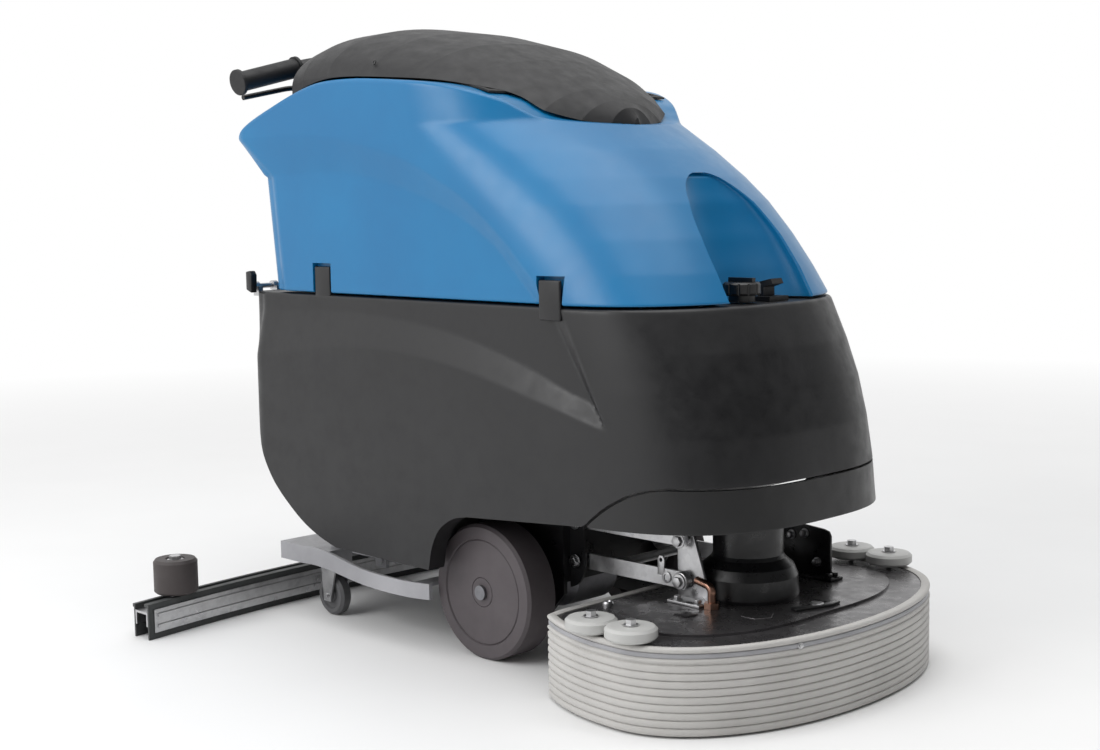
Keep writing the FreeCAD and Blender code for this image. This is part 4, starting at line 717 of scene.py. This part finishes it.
def deck_fittings():
    """Brackets, bolts, spring and small plates on the deck."""
    x, z = LINK_FRONT_X, LINK_Z
    cheek = [(x - 17, PLATFORM_Z), (x + 53, PLATFORM_Z), (x + 15, z + LINK_RISE + 13), (x - 17, z + LINK_RISE + 13)]
    right = plate_piece("link_bracket_right", cheek, -95.5, -89.5)
    join(right, plate_piece("foot", [(x - 12, 136), (x + 55, 136), (x + 55, 141), (x - 12, 141)], -128, -89.5))
    for at in (x + 2, x + 44):
        join(right, hex_bolt("bolt", at, -117, 141, 6.5, 5.0))
    for rise in (0.0, LINK_RISE):
        join(right, hex_bolt("bolt", x, -112, z + rise, 9.0, 6.0, (0, -1, 0)))
    join(right, spiral("spring", 13.0, 2.0, 4.5, 12.0, x, -97.5, z, (0, -1, 0)))
    piece(right, "deck", "zinc")
    outline = [(300, 136), (424, 136), (424, 206), (420, 214), (410, 217), (300, 226)]
    left = plate_piece("side_bracket_left", outline, 178, 184)
    join(left, plate_piece("flange", [(396, 136), (446, 136), (446, 141), (396, 141)], 150, 184))
    for at_x, at_y in ((436, 174), (436, 158)):
        join(left, hex_bolt("bolt", at_x, at_y, 141, 6.5, 6.0))
    piece(left, "deck", "black_steel")
    pins = hex_bolt("bracket_pins", 344, 178, 200, 6.0, 8.0, (0, -1, 0))
    join(pins, hex_bolt("bolt", 372, 178, 206, 6.0, 8.0, (0, -1, 0)), hex_bolt("bolt", 398, 178, 160, 6.0, 8.0, (0, -1, 0)))
    piece(pins, "deck", "zinc")
    for side, name in ((-1, "right"), (1, "left")):
        cover = turned("spindle_cover_" + name, DECK_CENTRE_X - 18, side * 166.0,
                       [(0, 131.0), (14.6, 131.0), (14.6, 136.2), (19, 136.2), (19, 137.2), (17, 138.2), (4, 138.4),
                        (3, 137.6), (0, 137.6)], 40)
        piece(cover, "deck", "deck_paint")
    catch = [(506, -38), (520, -42), (541, 24), (538, 48), (522, 38)]
    bar = outward(new_object("deck_catch", [(a, b, h) for h in (136.1, 140.5) for a, b in catch],
                             [tuple(range(5)), tuple(range(5, 10))] + [(i, (i + 1) % 5, 5 + (i + 1) % 5, 5 + i)
                                                                       for i in range(5)]))
    piece(bevelled(bar, 1.0), "deck", "black_steel")
    handle = turned("catch_plate", 523, 6, [(0, 140.6), (11, 140.6), (11, 142), (9.5, 143), (0, 143)], 32)
    piece(handle, "deck", "zinc")
    imprint = turned("deck_imprint", 486, -96, [(0, 135.5), (27, 135.5), (27, 136.6), (25.5, 137.2), (23, 136.4), (20, 136.2),
                                               (0, 136.2)], 6)
    piece(bevelled(imprint, 0.5), "deck", "deck_paint")
    ring = turned("deck_stud", 203 + 60, -194, [(0, 132), (9, 132), (9, 136), (7, 139), (5, 139), (4, 137), (0, 137)], 28)
    piece(ring, "deck", "zinc")


def clamp_screw():
    """Worm screw of the skirt's clamp band, at the deck's right front."""
    points, normal = deck_outline()
    angle = np.arctan2(points[:, 1], points[:, 0] - DECK_CENTRE_X)
    i = int(np.argmin(abs(angle - math.radians(-38))))
    (x, y), (nx, ny) = points[i], normal[i]
    screw = hex_bolt("clamp_screw", x + nx, y + ny, 122, 3.6, 3.0, (nx, ny, 0))
    piece(screw, "deck", "zinc")


def link_fittings():
    """Ear with its two holes, and washers, on the right lower link; bolts at the links' rear pivots."""
    ear = [(286, 170), (300, 170), (301, 196), (297, 202), (290, 202), (286, 196)]
    plate = plate_piece("link_ear", ear, -101.4, -97.6, 0.8)
    hole = [(293.5 + 3.5 * math.cos(math.radians(30 * i)), 195 + 3.5 * math.sin(math.radians(30 * i))) for i in range(12)]
    carve(plate, [slab(hole, -110, -90)])
    boss = turned("boss", 0, 0, [(0, 0), (9, 0), (9, 2.0), (8, 2.6), (5.5, 2.6), (5, 1.0), (0, 1.0)], 28)
    join(plate, lying(boss, 306, -100.3, 168, (0, -1, 0)))
    piece(plate, "lower_links", "zinc")
    for rise, body in ((0.0, "lower_links"), (LINK_RISE, "upper_links")):
        bolts = hex_bolt("link_bolts_" + body, LINK_REAR_X, -114.2, LINK_Z + rise, 8.5, 6.0, (0, -1, 0))
        join(bolts, hex_bolt("bolt", LINK_REAR_X, 114.2, LINK_Z + rise, 8.5, 6.0, (0, 1, 0)))
        piece(bolts, body, "zinc")


def lid_screws():
    """Small screws on the lid's sides and the hinge clip."""
    for side, name in ((-1, "right"), (1, "left")):
        screw = turned("lid_screw_" + name, 0, 0, [(0, -1.0), (4.5, -1.0), (4.5, 0.6), (3.5, 1.2), (1.6, 1.2), (1.4, 0.2),
                                                  (0, 0.2)], 24)
        piece(lying(screw, -206, side * 262.5, 1012, (0, side, 0.35)), "lid", "black_steel")
    clip = plate_piece("rear_clip", [(-604, 612), (-588, 606), (-586, 640), (-592, 648), (-604, 646)], -268, -254, 2.0)
    piece(clip, "chassis", "black_steel")


recovery_tank()
solution_tank()
deck_skirt()
deck_fittings()
clamp_screw()
link_fittings()
lid_screws()

# Floor, light and camera.

FLOOR_SIZE = 60.0


def floor():
    """Pale floor that turns to the backdrop's white a few metres out."""
    mesh = bpy.data.meshes.new("floor")
    half = FLOOR_SIZE
    mesh.from_pydata([(-half, -half, 0), (half, -half, 0), (half, half, 0), (-half, half, 0)], [], [(0, 1, 2, 3)])
    plane = bpy.data.objects.new("floor", mesh)
    bpy.context.scene.collection.objects.link(plane)
    n = Nodes("floor")
    n.shader.inputs["Roughness"].default_value = 0.75
    n.link(n.mix(n.noise(3.0), (0.80, 0.80, 0.80, 1), (0.84, 0.84, 0.84, 1)), "Base Color")
    distance = n.add("ShaderNodeVectorMath", {0: n.place}, operation="LENGTH").outputs["Value"]
    white = n.add("ShaderNodeEmission", {"Color": (1, 1, 1, 1), "Strength": 1.0}).outputs[0]
    fade = n.span(distance, 1.6, 5.0)
    blend = n.add("ShaderNodeMixShader", {0: fade, 1: n.shader.outputs[0], 2: white}).outputs[0]
    output = n.tree.nodes["Material Output"]
    n.tree.links.new(blend, output.inputs["Surface"])
    mesh.materials.append(n.material)


floor()

scene = bpy.context.scene
scene.view_settings.view_transform = "Standard"
world = bpy.data.worlds.new("studio")
scene.world = world
world.use_nodes = True


def studio_backdrop():
    """White studio walls behind and beside the machine and a white ceiling; the side in front of it is dark."""
    tree = world.node_tree
    direction = tree.nodes.new("ShaderNodeTexCoord").outputs["Generated"]
    parts = tree.nodes.new("ShaderNodeSeparateXYZ")
    tree.links.new(direction, parts.inputs[0])
    shades = []
    for axis, low, high, to_low, to_high in ((0, 0.0, 0.45, 1.0, 0.10), (2, 0.45, 0.85, 0.0, 0.9)):
        span = tree.nodes.new("ShaderNodeMapRange")
        tree.links.new(parts.outputs[axis], span.inputs[0])
        for index, value in enumerate((low, high, to_low, to_high), 1):
            span.inputs[index].default_value = value
        shades.append(span.outputs[0])
    brighter = tree.nodes.new("ShaderNodeMath")
    brighter.operation = "MAXIMUM"
    tree.links.new(shades[0], brighter.inputs[0])
    tree.links.new(shades[1], brighter.inputs[1])
    tree.links.new(brighter.outputs[0], tree.nodes["Background"].inputs["Strength"])
    tree.nodes["Background"].inputs["Color"].default_value = (1, 1, 1, 1)


studio_backdrop()

AIM = Vector((0.0, 0.0, 0.45))


def softbox(name, place, width, height, power):
    light = bpy.data.lights.new(name, "AREA")
    light.shape = "RECTANGLE"
    light.size = width
    light.size_y = height
    light.energy = power
    lamp = bpy.data.objects.new(name, light)
    lamp.location = place
    lamp.rotation_euler = (AIM - Vector(place)).to_track_quat("-Z", "Y").to_euler()
    scene.collection.objects.link(lamp)


softbox("key", (-0.9, -3.4, 2.4), 2.6, 1.8, 60.0)
softbox("top", (0.6, -0.2, 3.4), 2.6, 2.6, 45.0)

# The camera stands at the right front, a little above the deck, and looks slightly down.
CAMERA_PLACE = (2.0724, -2.0779, 0.7909)
CAMERA_TURN = math.radians(45.49)
CAMERA_DOWN = math.radians(6.33)
CAMERA_ROLL = -0.0162
camera = bpy.data.objects.new("camera", bpy.data.cameras.new("camera"))
camera.data.lens = 54.6
camera.data.sensor_width = 36.0
back = Vector((math.sin(CAMERA_TURN) * math.cos(CAMERA_DOWN), -math.cos(CAMERA_TURN) * math.cos(CAMERA_DOWN),
               math.sin(CAMERA_DOWN)))
right = Vector((math.cos(CAMERA_TURN), math.sin(CAMERA_TURN), 0))
up = back.cross(right)
rolled_right = right * math.cos(CAMERA_ROLL) + up * math.sin(CAMERA_ROLL)
rolled_up = up * math.cos(CAMERA_ROLL) - right * math.sin(CAMERA_ROLL)
axes = Matrix((rolled_right, rolled_up, back)).transposed().to_4x4()
camera.matrix_world = Matrix.Translation(CAMERA_PLACE) @ axes
scene.collection.objects.link(camera)
scene.camera = camera
